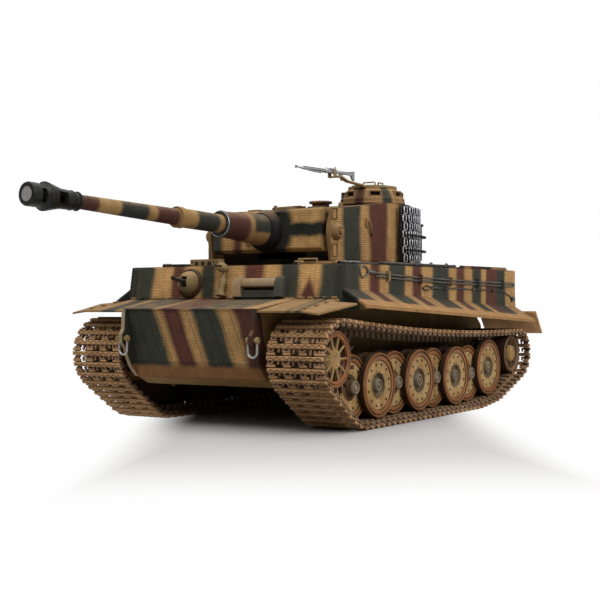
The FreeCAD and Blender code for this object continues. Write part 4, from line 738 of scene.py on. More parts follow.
def link_shape(side, with_pins=True):
    """One track link: x across, y along the track, +z towards the wheels."""
    shape = Shape()
    half = LINK_HALF
    shape.add(slab(-half, half, -2.7, 0.3, -2.25, 0.4, 0.5))
    for index in range(16):
        x = -half + 0.9 + (index + 0.5) * (2 * half - 1.8) / 16
        lean = 0.62 if index % 2 else -0.62
        shape.add(slab(-1.7, 1.7, -0.16, 0.16, -0.2, 0.05), at(x, -1.2, -2.25) @ spun(lean, "Z"), 3)
    for x in (-21.6, -18.2, -13.4, -9.6, -4.8, -1.2, 3.6, 7.2, 12.2, 15.6, 18.6, 21.6):
        shape.add(slab(x - 0.6, x + 0.6, 0.4, 3.9, -1.0, 1.2, 0.25), at(0, 0, 0) @ spun(0.06 * side, "Z"), 1)
    for x_low, x_high in ((-21.6, -18.2), (-9.6, -4.8), (3.6, 7.2), (18.6, 21.6)):
        shape.add(slab(x_low, x_high, 2.2, 3.0, -1.2, 0.8, 0.3), tone=1)
    for low, high in ((-12.6, 12.6), (-22.4, -18.0), (18.0, 22.4)):
        shape.add(slab(low, high, -2.4, 2.0, 0.7, 2.9, 0.3), tone=2)
        shape.add(slab(low, high, 1.6, 6.0, 1.3, 1.7), tone=3)
    if with_pins:
        for x_low, x_high in ((-22.5, -16.2), (-9.4, -3.6), (3.6, 9.4), (16.2, 22.5)):
            points, faces = lathe([(x_low, 0), (x_low, 0.95), (x_high, 0.95), (x_high, 0)], 10)
            shape.add((points, faces), at(0, 4.06, 0.0))
        for end in (-1, 1):
            points, faces = lathe([(-0.5, 0), (-0.5, 1.05), (0.35, 1.05), (0.6, 0.7), (0.6, 0)], 10)
            move = at(end * 22.7, 4.06, 0.0) @ Matrix.Scale(end, 4, (1, 0, 0))
            shape.add((points, faces), move, 1)
    for base in (-1.05 * side, -12.9 * side):
        outline = [(-2.3, 2.7), (2.3, 2.7), (1.75, 6.5), (1.2, 7.4), (-1.2, 7.4), (-1.75, 6.5)]
        points, faces = prism(outline, base - 0.8, base + 0.8)
        shape.add(swapped((points, faces), "zxy"), tone=2)
    return shape


def islands(name):
    """The separate solids of a CAD node, as lists of points in millimetres of the hull."""
    mesh = bmesh.new()
    mesh.from_mesh(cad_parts[name].data)
    bmesh.ops.remove_doubles(mesh, verts=mesh.verts, dist=1e-6)
    seen = set()
    groups = []
    for start in mesh.verts:
        if start.index in seen:
            continue
        stack = [start]
        seen.add(start.index)
        group = []
        while stack:
            vertex = stack.pop()
            group.append(vertex.co * 1000 - HULL_SHIFT)
            for edge in vertex.link_edges:
                other = edge.other_vert(vertex)
                if other.index not in seen:
                    seen.add(other.index)
                    stack.append(other)
        groups.append(group)
    mesh.free()
    return groups


def link_places(name, side):
    """A matrix for each link of a track, from where its CAD solid lies."""
    places = []
    for group in islands(name):
        middle = sum(group, Vector()) / len(group)
        tips = [point for point in group if math.hypot(point.y - middle.y, point.z - middle.z) > 5.6]
        tip = sum(tips, Vector()) / len(tips)
        up = Vector((0, tip.y - middle.y, tip.z - middle.z)).normalized()
        base = Vector((side * TRACK_MIDDLE, tip.y, tip.z)) - up * 7.4
        forward = up.cross(Vector((1, 0, 0)))
        turn = Matrix((Vector((1, 0, 0)), forward, up)).transposed().to_4x4()
        places.append(Matrix.Translation(base) @ turn)
    return places


def tracks():
    for name, side in (("track_left", 1), ("track_right", -1)):
        link = link_shape(side)
        whole = Shape()
        for place in link_places(name, side):
            whole.add_shape(link, place)
        made = piece(name + "_chain", "hull", whole, [track_paint, track_edge, horn_paint, track_groove])
        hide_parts(name)


def mirrored_place(side, x, y, z):
    turn = spun(0 if side > 0 else math.pi, "Z")
    return at(side * x, y, z) @ turn


def holes(shape_object, cutter):
    """Cut a Shape out of an object."""
    mesh = bpy.data.meshes.new("cutter")
    mesh.from_pydata([METRES @ HULL @ point for point in cutter.points], [], cutter.faces)
    tool = bpy.data.objects.new("cutter", mesh)
    bpy.context.scene.collection.objects.link(tool)
    modifier = shape_object.modifiers.new("holes", "BOOLEAN")
    modifier.object = tool
    modifier.operation = "DIFFERENCE"
    modifier.solver = "EXACT"
    bpy.context.view_layer.update()
    graph = bpy.context.evaluated_depsgraph_get()
    cut = bpy.data.meshes.new_from_object(shape_object.evaluated_get(graph), depsgraph=graph)
    shape_object.modifiers.clear()
    shape_object.data = cut
    bpy.data.objects.remove(tool)


def ring_of(shape, geometry, count, radius, x, tone=0, offset=0.0):
    """Repeat a part that stands on z = 0 round the x axis, facing outwards along +x."""
    for index in range(count):
        turn = 2 * math.pi * (index + offset) / count
        move = spun(turn) @ at(x, 0, radius) @ facing((1, 0, 0))
        shape.add(geometry, move, tone)


def wheel_disc(body, place, edge, gap_in, gap_out):
    """Two steel-rimmed discs with a gap between them, in rings of different paint."""
    rim = Shape()
    rim.add_turned(
        72,
        (1, [(gap_in, 7.9), (gap_in, 23.2), (gap_in - 0.4, 23.7), (-edge + 0.4, 23.7),
             (-edge, 23.2), (-edge, 3.2)]),
        (1, [(gap_in, 7.9), (gap_out, 7.9), (gap_out, 23.2), (gap_out + 0.5, 23.7),
             (edge - 0.9, 23.7)]),
        (0, [(edge - 0.9, 23.7), (edge - 0.2, 23.4), (edge, 22.9), (edge, 22.5), (edge - 0.4, 22.2)]),
        (3, [(edge - 0.4, 22.2), (edge - 1.1, 22.0), (edge - 1.1, 21.2), (edge - 0.5, 21.0)]),
        (0, [(edge - 0.5, 21.0), (edge - 0.4, 18.9), (edge - 0.6, 18.4)]),
        (3, [(edge - 0.6, 18.4), (edge - 1.3, 18.1), (edge - 1.2, 17.8)]),
        (2, [(edge - 1.2, 17.8), (edge - 1.1, 17.0), (edge - 1.5, 12.0), (edge - 1.7, 9.6)]))
    return piece(body + "_disc", body, rim, [rim_paint, tyre_paint, disc_paint, hub_brown],
                 HULL @ place)


def wheel_holes(body, place, edge):
    """Twelve holes with pressed lips in the outer disc, each closed by a near-black disc as painted shade."""
    holes_in_disc = Shape()
    for index in range(12):
        bar = lathe([(edge - 3.4, 0), (edge - 3.4, 0.8), (edge - 1.25, 0.85), (edge - 0.98, 1.1)], 16)
        turn = 2 * math.pi * (index + 0.5) / 12
        holes_in_disc.add(bar, spun(turn) @ at(0, 0, 15.4), 1)
        # near-black disc in each hole: painted shade of the opening
        holes_in_disc.add(lathe([(edge - 1.0, 0.95), (edge - 1.0, 0)], 16),
                          spun(turn) @ at(0, 0, 15.4))
    piece(body + "_holes", body, holes_in_disc, [opening_shade, disc_paint], HULL @ place)


def wheel_hub(body, place, edge, outer):
    """A dished hub with bolts for the outer row, a long cap for the inner row."""
    hub = Shape()
    if outer:
        hub.add_turned(60, (0, [(edge - 1.8, 9.8), (edge - 1.2, 9.3), (edge - 1.3, 8.6),
                                (edge - 3.4, 7.9), (edge - 4.0, 7.2), (edge - 4.0, 4.9)]))
        hub.add_turned(
            48,
            (1, [(edge - 4.0, 5.0), (edge - 1.4, 4.7), (edge - 0.8, 4.2), (edge - 0.9, 3.2)]),
            (0, [(edge - 0.9, 3.2), (edge - 1.6, 2.9), (edge - 1.6, 1.8)]),
            (1, [(edge - 1.6, 1.8), (edge - 1.0, 1.5), (edge - 0.8, 0)]))
        ring_of(hub, bolt(0.65, 0.5), 8, 6.1, edge - 4.0, 0)
        ring_of(hub, dome(0.5, 0.3), 12, 10.6, edge - 1.6, 0, 0.5)
    else:
        hub.add_turned(48, (2, [(edge - 1.8, 9.8), (edge - 1.6, 8.4), (edge - 1.2, 6.6),
                                (edge + 2.6, 5.2)]))
        hub.add_turned(
            40,
            (1, [(edge + 2.6, 5.2), (edge + 3.2, 5.0), (edge + 3.8, 4.7), (edge + 4.2, 4.2),
                 (edge + 3.9, 3.5)]),
            (0, [(edge + 3.9, 3.5), (edge + 3.3, 3.2), (edge + 3.2, 2.2)]),
            (1, [(edge + 3.2, 2.2), (edge + 3.8, 1.8), (edge + 4.0, 0)]))
        ring_of(hub, bolt(0.75, 0.6), 8, 11.4, edge - 1.6, 3, 0.5)
    piece(body + "_hub", body, hub, [hub_paint, cap_metal, hub_brown, disc_paint], HULL @ place)


def road_wheels():
    """Eight axles a side; every second wheel stands in the outer row."""
    for name, side in SIDES:
        for axle in range(1, 9):
            height = LAST_WHEEL_HEIGHT if axle == 8 else WHEEL_HEIGHT
            outer = axle % 2 == 0
            middle, edge = (95.45, 6.85) if outer else (89.25, 7.75)
            gap_in, gap_out = (-3.75, 1.85) if outer else (-3.35, 2.75)
            place = mirrored_place(side, middle, (axle - 4.5) * AXLE_PITCH, height)
            body = "wheel_%s_%d" % (name, axle)
            made = wheel_disc(body, place, edge, gap_in, gap_out)
            wheel_holes(body, place, edge)
            wheel_hub(body, place, edge, outer)
            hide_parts(body)


def sprockets():
    """Twin rings with slender teeth and slim spokes round a sunken, domed hub."""
    for name, side in SIDES:
        place = mirrored_place(side, TRACK_MIDDLE, *SPROCKET)
        body = "sprocket_" + name
        shape = Shape()
        for way in (1, -1):
            flip = Matrix.Scale(way, 4, (1, 0, 0))
            shape.add(lathe([(14.2, 15.2), (14.2, 19.7), (16.0, 19.7), (16.6, 19.3), (16.6, 18.4),
                             (15.9, 18.1),
                             (15.9, 17.4), (16.6, 17.1), (16.7, 16.0), (16.2, 15.2), (14.2, 15.2)], 80), flip)
            for index in range(20):
                outline = [(-1.5, 19.2), (1.5, 19.2), (0.9, 22.8), (0.4, 24.8), (-0.4, 24.8), (-0.9, 22.8)]
                points, faces = prism(outline, 14.4, 16.5)
                tooth = swapped((points, faces), "zxy")
                shape.add(tooth, flip @ spun(2 * math.pi * index / 20), 1)
            for index in range(10):
                spoke = slab(14.3, 15.9, -0.7, 0.7, 6.6, 15.8, 0.3)
                shape.add(spoke, flip @ spun(2 * math.pi * (index + 0.5) / 10), 2)
        shape.add(lathe([(-15.0, 6.0), (-15.0, 9.6), (-12.0, 13.0), (12.0, 13.0), (12.6, 12.0),
                         (12.8, 9.4)], 60), tone=1)
        shape.add(lathe([(12.6, 9.4), (13.6, 9.0), (14.0, 8.0), (14.4, 7.4), (15.9, 6.6), (16.4, 5.0),
                         (16.5, 3.4), (16.1, 2.8), (16.1, 0)], 60), tone=2)
        shape.add(lathe([(-38.0, 0), (-38.0, 3.0), (-15.0, 3.0), (-15.0, 6.0)], 24), tone=1)
        ring_of(shape, bolt(0.6, 0.5), 10, 8.2, 13.9, 3)
        ring_of(shape, bolt(0.5, 0.4), 6, 4.3, 16.2, 3)
        made = piece(body + "_wheel", body, shape, [rim_paint, tyre_paint, disc_paint, hub_paint],
                     HULL @ place)
        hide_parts(body)


def idlers():
    """Twin steel idler wheels: dark brown dished discs round a cream hub, their dark partly rust and partly
    painted shade.
    """
    for name, side in SIDES:
        place = mirrored_place(side, TRACK_MIDDLE, *IDLER)
        body = "idler_" + name
        shape = Shape()
        shape.add(lathe([(-11.4, 4.0), (-11.4, 15.8), (-10.8, 16.4), (-3.0, 16.4), (-2.6, 16.0), (-2.6, 10.0),
                         (0.8, 10.0), (0.8, 16.0), (1.2, 16.4), (13.0, 16.4)], 64), tone=1)
        shape.add(lathe([(13.0, 16.4), (13.6, 15.8), (13.6, 14.6), (13.1, 14.0), (12.4, 13.6)], 64))
        # dark brown discs: rust, and painted shade where the idlers sit in shadow
        shape.add(lathe([(12.4, 13.6), (11.2, 12.2), (10.6, 9.0), (10.8, 7.6)], 64), tone=2)
        shape.add(lathe([(10.8, 7.6), (12.6, 7.2), (13.6, 6.2), (14.2, 4.2), (13.8, 3.6), (13.8, 0)], 48),
                  tone=3)
        ring_of(shape, bolt(0.6, 0.5), 8, 6.6, 13.0, 3)
        for index in range(8):
            rib = slab(10.4, 11.8, -0.4, 0.4, 7.4, 13.2, 0.15)
            shape.add(rib, spun(2 * math.pi * index / 8), 2)
        made = piece(body + "_wheel", body, shape, [horn_paint, tyre_paint, hub_brown, disc_paint],
                     HULL @ place)
        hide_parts(body)


# ---------------------------------------------------------------- hull details

def visor():
    """Driver's vision slit: cheeks, lower block, sliding upper block, and a near-black slab in the slit as
    painted shade.
    """
    shape = Shape()
    low = prism([(-22.6, 0.3), (-22.6, 3.2), (-21.2, 5.6), (15.0, 5.6), (15.0, 0.3)], 0.1, 3.6)
    shape.add(swapped(low, "xZy"))
    for x_low, x_high, tone in ((-21.5, -14.9, 1), (14.9, 21.5, 0)):
        cheek = prism([(0.1, 0.4), (6.4, 0.4), (6.4, 11.6), (4.6, 15.6), (0.1, 15.6)], x_low, x_high)
        shape.add(swapped(cheek, "zXy"), tone=tone)
    slider = prism([(0.1, 8.0), (5.6, 8.0), (6.0, 8.6), (6.0, 11.8), (4.4, 14.4), (0.1, 15.0)], -14.6, 14.6)
    shape.add(swapped(slider, "zXy"), tone=1)
    # near-black slab in the slit: painted shade of the opening
    shape.add(slab(-14.6, 14.6, -1.6, -0.1, 5.4, 8.2), tone=2)
    made = piece("driver_visor_housing", "hull", shape, [visor_green, visor_tan, opening_shade],
                 FRONT_PLATE @ at(28, 0, 0), bevel=0.35)
    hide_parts("driver_visor")


def headlight():
    """Blackout lamp with a slotted dome on a tapering stand, and its cable."""
    shape = Shape()
    lamp = lathe([(-1.0, 0), (-1.0, 2.0), (0.4, 2.9), (2.6, 3.5), (4.2, 3.7), (4.6, 3.5), (5.6, 3.6),
                  (7.2, 3.3), (8.6, 2.4), (9.4, 1.0), (9.6, 0)], 40)
    shape.add(swapped(lamp, "yXz"), at(0, -1.6, 22.6))
    stand = lathe([(1.6, 0), (1.6, 3.8), (2.6, 3.6), (5.0, 2.6), (8.0, 2.3), (11.0, 3.0), (13.4, 2.8),
                   (16.0, 1.7),
                   (19.4, 1.5), (20.0, 0)], 28)
    shape.add(swapped(stand, "yzx"), at(0, -4.6, 0) @ spun(math.radians(-5)))
    shape.add(tube([(-7.6, -0.4, 7.2), (-7.2, -3.0, 7.2), (-4.6, -5.6, 6.6), (-1.4, -7.4, 5.4),
                    (1.4, -7.6, 3.4),
                    (1.8, -6.0, 1.8)], 0.5))
    # near-black slab for the lamp's slot: painted shade of the opening
    shape.add(slab(-2.7, 2.7, -11.5, -8.4, 22.2, 23.3, 0.1), tone=1)
    shape.add(slab(-3.0, 3.0, -5.6, -0.1, 1.4, 3.0, 0.4))
    made = piece("headlight_lamp", "hull", shape, [tan_paint, opening_shade], FRONT_PLATE @ at(-5.2, 0, 0))
    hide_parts("headlight")


def place_in_hull(place):
    """A place of the CAD frame, seen from the hull frame."""
    return HULL.inverted() @ place


def bow_mount():
    """Ball mount of the bow machine gun: dark collar, windowed ball and a ribbed barrel."""
    place = FRONT_PLATE @ at(-37.5, 0, 11.9)
    collar = Shape()
    turn = [(0.2, 9.6), (0.2, 11.4), (1.2, 11.3), (2.3, 10.7), (2.8, 10.0), (2.7, 9.65), (1.4, 9.55)]
    points, faces = lathe(turn + turn[:1], 64)
    collar.add(swapped((points, faces), "yXz"))
    made = piece("bow_collar_ring", "hull", collar, collar_paint, place)
    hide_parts("bow_gun_collar")
    ball = Shape()
    half = [(9.2 * math.sin(math.pi / 2 * i / 20) + 1.0,
             9.2 * math.cos(math.pi / 2 * i / 20)) for i in range(21)]
    points, faces = lathe([(0.2, 0), (0.2, 9.1)] + half[1:-1] + [(10.2, 0)], 64)
    ball.add(swapped((points, faces), "yXz"))
    made = piece("bow_ball_cover", "bow_ball", ball, [tan_paint], place, sharp=50)
    window = Shape().add(slab(-3.0, 3.0, -12, -5.2, -4.2, 3.8), place_in_hull(place))
    holes(made, window)
    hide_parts("bow_ball")
    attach(made, "bow_ball")
    # near-black plate behind the window: painted shade inside the ball
    inside = Shape().add(slab(-3.4, 3.4, -5.3, -5.0, -4.6, 4.2))
    piece("bow_ball_well", "bow_ball", inside, opening_shade, place)
    gun = Shape()
    jacket = lathe([(4.6, 0), (4.6, 2.0), (8.6, 2.0), (9.0, 1.5), (11.6, 1.5), (12.0, 1.85), (12.8, 1.85),
                    (13.2, 1.5), (15.4, 1.5), (15.8, 1.85), (16.6, 1.85), (17.0, 1.3), (20.0, 1.15),
                    (20.4, 1.6), (22.0, 1.7), (22.0, 0.8), (20.4, 0.7), (20.4, 0)], 20)
    gun.add(swapped(jacket, "yXz"))
    made = piece("bow_gun_barrel", "bow_gun", gun, dark_gun, place)
    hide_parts("bow_gun")


def shackles():
    """Bright forged shackles in the towing eyes."""
    for name, side in (("shackle_left", 1), ("shackle_right", -1)):
        shape = Shape()
        reach = 3.7
        turn = [(reach * math.cos(math.pi * i / 12), 0, -8.0 - reach * math.sin(math.pi * i / 12))
                for i in range(13)]
        shape.add(tube([(reach, 0, -1.6)] + turn + [(-reach, 0, -1.6)], 0.9, 12))
        for way in (1, -1):
            boss = lathe([(-1.0, 0), (-1.0, 1.9), (-0.6, 2.3), (0.8, 2.3), (1.2, 1.9), (1.2, 0)], 24)
            shape.add(boss, at(way * (reach + 0.1), 0, 0), 1)
            shape.add(tube([(way * reach, 0, -1.2), (way * reach, 0, -3.0)], 1.05, 12), None, 1)
        shape.add(lathe([(-5.1, 0), (-5.1, 1.5), (5.1, 1.5), (5.1, 0)], 20), None, 1)
        made = piece(name + "_bow", name, shape, [bright_steel, tan_paint],
                     HULL @ at(side * 57.35, -177.2, 64.2))
        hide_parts(name)


def towing_cables():
    """Twisted towing cables doubled along the sides, each with an eye and three collars."""
    for name, side in SIDES:
        x = side * 97.6
        heavy = [(-88, 111.6), (-40, 109.4), (30, 107.6), (100, 106.4), (172, 105.4), (175.2, 104.1),
                 (172, 102.8),
                 (100, 103.8), (30, 105.0), (-40, 106.9), (-78, 108.6)]
        shape = twisted([Vector((x, y, z)) for y, z in heavy], 0.72)
        loop = []
        for index in range(32):
            turn = 2 * math.pi * index / 32
            narrow = 3.9 * math.sin(turn) * (1.0 - 0.42 * math.cos(turn))
            loop.append(Vector((x, -94.6 + 6.0 * math.cos(turn), 111.8 + narrow)))
        shape.add(tube(loop, 0.6, 10, closed=True))
        for y, z, size in ((-88.6, 111.7, 1.1), (-85.0, 111.5, 1.25), (-81.4, 111.3, 1.05)):
            collar = lathe([(-1.6, 0), (-1.6, size * 0.8), (-1.2, size), (1.2, size), (1.6, size * 0.8),
                            (1.6, 0)], 16)
            shape.add(swapped(collar, "yxz"), at(x, y, z))
        made = piece("tow_cable_" + name, "hull", shape, cable_metal)
        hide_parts("tow_cables")


def thin_cable():
    """Dark track cable in its clips on the left side."""
    fine = [(-3, 100.4), (3.5, 102.3), (16, 101.0), (60, 100.3), (110, 99.4), (146, 98.9), (160, 96.6),
            (174, 91.8)]
    back = [(-3, 100.4), (3.5, 98.6), (16, 100.2), (40, 100.1)]
    shape = Shape()
    for route in (fine, back):
        shape.add(tube([Vector((97.3, y, z)) for y, z in smooth_path(route)], 0.5, 8))
    shape.add(slab(96.5, 98.3, 172, 178, 89.4, 93.4, 0.4))
    piece("thin_cable", "hull", shape, black_tool)


def smooth_path(points, steps=10):
    """A smooth line through 2-D points."""
    padded = [points[0]] + list(points) + [points[-1]]
    line = []
    for before, first, second, after in zip(padded, padded[1:], padded[2:], padded[3:]):
        for step in range(steps):
            t = step / steps
            line.append(tuple(0.5 * (2 * b + (c - a) * t + (2 * a - 5 * b + 4 * c - d) * t * t
                                     + (3 * b - a - 3 * c + d) * t ** 3)
                              for a, b, c, d in zip(before, first, second, after)))
    return line + [points[-1]]


def twisted(route, radius):
    """Five strands laid round a route."""
    flat = smooth_path([(point.y, point.z) for point in route], 24)
    x = route[0].x
    shape = Shape()
    lengths = [0.0]
    for first, second in zip(flat, flat[1:]):
        lengths.append(lengths[-1] + math.dist(first, second))
    total = lengths[-1]
    count = int(total / 0.8)
    spine = []
    place = 0
    for index in range(count + 1):
        wanted = total * index / count
        while place < len(lengths) - 2 and lengths[place + 1] < wanted:
            place += 1
        part = (wanted - lengths[place]) / max(1e-9, lengths[place + 1] - lengths[place])
        spine.append(Vector((x, flat[place][0] + (flat[place + 1][0] - flat[place][0]) * part,
                             flat[place][1] + (flat[place + 1][1] - flat[place][1]) * part)))
    for strand in range(5):
        path = []
        for index, centre in enumerate(spine):
            after = spine[min(index + 1, count)]
            before = spine[max(index - 1, 0)]
            heading = (after - before).normalized()
            side = Vector((1, 0, 0))
            up = heading.cross(side).normalized()
            turn = 2 * math.pi * (strand / 5 + index * 0.8 / 6.5)
            path.append(centre + (side * math.cos(turn) + up * math.sin(turn)) * radius * 0.5)
        shape.add(tube(path, radius * 0.46, 6))
    return shape


def fender_fittings():
    """Nose bolts, flap hinges and the rivets of the skirts and rear guards."""
    shape = Shape()
    for x in (-54, -40, -24, 24, 40, 54):
        shape.add(bolt(0.7, 0.4), at(x, -173.0, 85.9) @ facing((0, -0.1, 1)))
    for side in (1, -1):
        for x in (64, 71, 84, 91):
            barrel = lathe([(-2.2, 0), (-2.2, 1.0), (2.2, 1.0), (2.2, 0)], 12)
            shape.add(barrel, at(side * x, -125.6, 92.9))
        for y in (-168, -155, -142):
            barrel = lathe([(-2.6, 0), (-2.6, 0.7), (2.6, 0.7), (2.6, 0)], 12)
            z = 84.4 + (y + 175.0) * 0.157 + 0.5
            shape.add(swapped(barrel, "yxz"), at(side * 95.1, y, z))
        for y in (-112, -86, -60, -38, -14, 12, 38, 64, 90, 116, 142, 168):
            shape.add(dome(0.8, 0.5), at(side * 98.6, y,
                                         skirt_fold(y) - 2.0) @ facing((side * 0.62, 0, 0.78)))
        for x, y, z in ((106, 197.4, 65), (70, 197.4, 65), (106, 187, 78.6), (70, 187, 78.6)):
            shape.add(dome(0.9, 0.5), at(side * x, y, z) @ facing((0, 0.78, 0.62)))
    piece("fender_fittings", "hull", shape, fender_paint)


def weld_seams():
    """Weld beads round the driver's plate and along the glacis."""
    seams = Shape()
    for side in (1, -1):
        wave = [(side * 95.9, -0.35 + 0.1 * math.sin(i * 2.1), 0.8 + i * 0.75) for i in range(32)]
        seams.add(tube(wave, lambda t: 0.42 + 0.1 * math.sin(t * 70), 6))
        seams.add(slab(side * 92 - 1.6, side * 92 + 1.6, -0.9, 0.2, 1.0, 23.5, 0.3))
    piece("driver_plate_seams", "hull", seams, front_paint, FRONT_PLATE)
    base = Shape()
    wave = [(-57 + i * 0.9, -125.5, 92.9 + 0.12 * math.sin(i * 1.7)) for i in range(128)]
    base.add(tube(wave, lambda t: 0.55 + 0.12 * math.sin(t * 260), 6))
    for side in (1, -1):
        base.add(tube([(side * 59.2, -125.6, 92.2), (side * 59.2, -150, 88.8), (side * 59.2, -174.6, 85.3)],
                      0.6, 8))
    piece("glacis_weld", "hull", base, glacis_paint)


def deck_furniture():
    """Periscope hoods, deck bolts, engine hatch handles and the ribs of the ventilator."""
    deck = Shape()
    for side in (1, -1):
        for x, y in ((44, -98), (80, -98)):
            deck.add(slab(side * x - 3.4, side * x + 3.4, y - 2.6, y + 2.6, 117.3, 120.4, 0.8))
            # near-black plate on each hood's front: painted shade of the periscope opening
            deck.add(slab(side * x - 2.6, side * x + 2.6, y - 3.0, y - 2.4, 118.2, 119.6, 0.1), tone=1)
    for y in (118, 130, 142, 154, 166):
        for x in (-21.5, 21.5):
            deck.add(bolt(0.8, 0.6), at(x, y, 120.0))
    for x in (-8, 8):
        for y in (122, 158):
            deck.add(tube([(x - 3, y, 119.8), (x - 3, y, 121.6), (x + 3, y, 121.6), (x + 3, y, 119.8)], 0.4,
                          8))
    for side in (1, -1):
        for y in (130, 172):
            for x in (32, 58, 84):
                deck.add(bolt(0.6, 0.4), at(side * x, y, 118.5))
    piece("deck_fittings", "hull", deck, [deck_paint, opening_shade])
    front = Shape()
    for x in (-40, -20):
        front.add(bolt(0.6, 0.4), at(x, -117.4, 120.4) @ facing((0, -1, 0)))
    for x in (-36, -30, -24):
        front.add(slab(x - 1.6, x + 1.6, -117.8, -117.2, 118.0, 120.9, 0.2))
    piece("ventilator_ribs", "hull", front, deck_paint)


def deck_tools():
    """Cleaning rods in their clamps, shovel, crowbar, axe and hammer on the hull roof."""
    shape = Shape()
    for x in (89.4, 92.3):
        profile = [(-58, 0), (-58, 0.8), (-57, 1.3), (-56, 1.15), (0, 1.15), (1, 1.5), (4, 1.5), (5, 1.15),
                   (60, 1.15), (61, 1.4), (65, 1.4), (66, 0)]
        points, faces = lathe(profile, 12)
        shape.add(swapped((points, faces), "yxz"), at(x, 0, 118.6))
    for y in (-40, -8, 24, 52):
        shape.add(slab(87.0, 94.4, y - 1.0, y + 1.0, 117.3, 119.4, 0.3))
        shape.add(slab(89.9, 91.7, y - 0.7, y + 0.7, 119.2, 120.9, 0.3), tone=1)
        shape.add(tube([(90.8, y - 2.4, 119.9), (90.8, y, 121.0), (90.8, y + 2.6, 120.2)], 0.45, 8), tone=1)
    spade = prism([(-5.0, -8), (-5.2, 4), (-3.4, 8), (0, 9.2), (3.4, 8), (5.2, 4), (5.0, -8), (0, -9)], 0,
                  1.0)
    shape.add(spade, at(86.6, -96, 118.4) @ spun(math.pi, "Z"), 3)
    shape.add(tube([(84.6, -88, 118.4), (84.6, -66, 118.3), (84.6, -44, 118.3)], 0.9, 10))
    shape.add(tube([(82.0, -30, 118.1), (82.0, 58, 118.1), (82.6, 62, 118.6)], 0.8, 8))
    shape.add(tube([(-86, -60, 118.1), (-86, 0, 118.1)], 0.85, 10), tone=2)
    axe = prism([(-5, -2), (2, -1.4), (2, 1.6), (-5, 3.4)], 0, 1.6)
    shape.add(axe, at(-86, -59, 117.4))
    shape.add(tube([(-90, 14, 118.2), (-90, 66, 118.2)], 0.9, 10), tone=2)
    shape.add(slab(-92.4, -86.6, 63.6, 69, 117.3, 120.4, 0.6))
    for y in (-46, -14):
        shape.add(slab(-87.6, -84.4, y - 1, y + 1, 117.3, 119.2, 0.3))
    for y in (24, 54):
        shape.add(slab(-91.6, -88.4, y - 1, y + 1, 117.3, 119.3, 0.3))
    made = piece("roof_tools", "hull", shape, [black_tool, cap_metal, tub_paint, worn_tool])
    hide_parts("deck_tools")


# ---------------------------------------------------------------- turret details

def spare_link_shape():
    """A spare link seen from outside: staggered lugs with rubbed silver edges, black gaps, and a near-black
    patch in each lug's hollow as painted shade.
    """
    shape = Shape()
    half = LINK_HALF
    shape.add(slab(-half, half, -3.0, 3.0, -1.6, 0.8, 0.4))
    pitch = 2 * half / 7
    for index in range(7):
        x = -half + (index + 0.5) * pitch
        shift = 0.75 if index % 2 else -0.75
        low, high = x - 0.42 * pitch, x + 0.42 * pitch
        shape.add(slab(low, high, shift - 2.3, shift + 2.3, 0.6, 2.6, 0.45))
        for way in (-1, 1):
            edge = shift + way * 2.1
            shape.add(slab(low + 0.3, high - 0.3, edge - 0.4, edge + 0.4, 2.0, 2.9, 0.15), tone=1)
        for end in (low, high):
            shape.add(slab(end - 0.25, end + 0.25, shift - 2.0, shift + 2.0, 2.0, 2.8, 0.15), tone=1)
        # near-black patch in each lug's hollow: painted shade
        shape.add(slab(low + 0.9, high - 0.9, shift - 1.3, shift + 1.3, 2.4, 2.7, 0.1), tone=2)
    for base in (-1.05, -12.9):
        points, faces = prism([(-2.0, 2.6), (2.0, 2.6), (1.2, 6.6), (0.7, 7.4), (-0.7, 7.4), (-1.2, 6.6)],
                              base - 0.7, base + 0.7)
        shape.add(swapped((points, faces), "zxy"))
    return shape


def spare_track_links():
    """Black spare links with silvered edges hung upright round the turret's rear quarters."""
    link = spare_link_shape()
    for name, side in SIDES:
        whole = Shape()
        for index in range(7):
            turn = math.radians(-3.0) + index * 8.12 / (65.6 + 1.8)
            flat = Matrix(((0, 0, 1, 67.8), (0, -1, 0, 0), (1, 0, 0, 144.15), (0, 0, 0, 1)))
            outward = spun(turn, "Z") @ flat
            if side < 0:
                outward = Matrix.Scale(-1, 4, (1, 0, 0)) @ outward
            whole.add_shape(link, at(0, 15, 0) @ outward)
        made = piece("spare_links_" + name, "turret", whole, [spare_black, spare_edge, opening_shade],
                     TURRET)
        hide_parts("spare_links")


def cheek_fittings():
    """Side plugs, cheek strips and lifting brackets of the turret."""
    shape = Shape()
    for side in (1, -1):
        flip = Matrix.Scale(side, 4, (1, 0, 0))
        cone = lathe([(60.6, 6.6), (61.8, 6.4), (64.0, 5.4), (65.2, 4.6), (65.6, 3.4), (65.0, 2.9),
                      (65.0, 2.2),
                      (66.6, 1.8), (66.9, 0)], 40)
        shape.add(cone, flip @ at(0, -72, 143))
        for low, high in ((152.5, 160.5), (124.5, 134.0)):
            for y in (-77.2, -71.2):
                shape.add(slab(60.6, 61.8, y - 0.35, y + 0.35, low, high, 0.1), flip)
            for z in (low, high):
                shape.add(slab(60.6, 61.8, -77.4, -71.0, z - 0.35, z + 0.35, 0.1), flip)
        bracket = tube([(62.2, -32, 154), (64.4, -31, 151.6), (64.8, -29.6, 147.6), (64.2, -27.6, 143.6),
                        (62.2, -26, 141.6)], 0.8, 8)
        shape.add(bracket, flip)
        shape.add(slab(61.6, 63.4, -34, -30, 148, 155, 0.5), flip)
    piece("cheek_fittings", "turret", shape, turret_paint, TURRET)


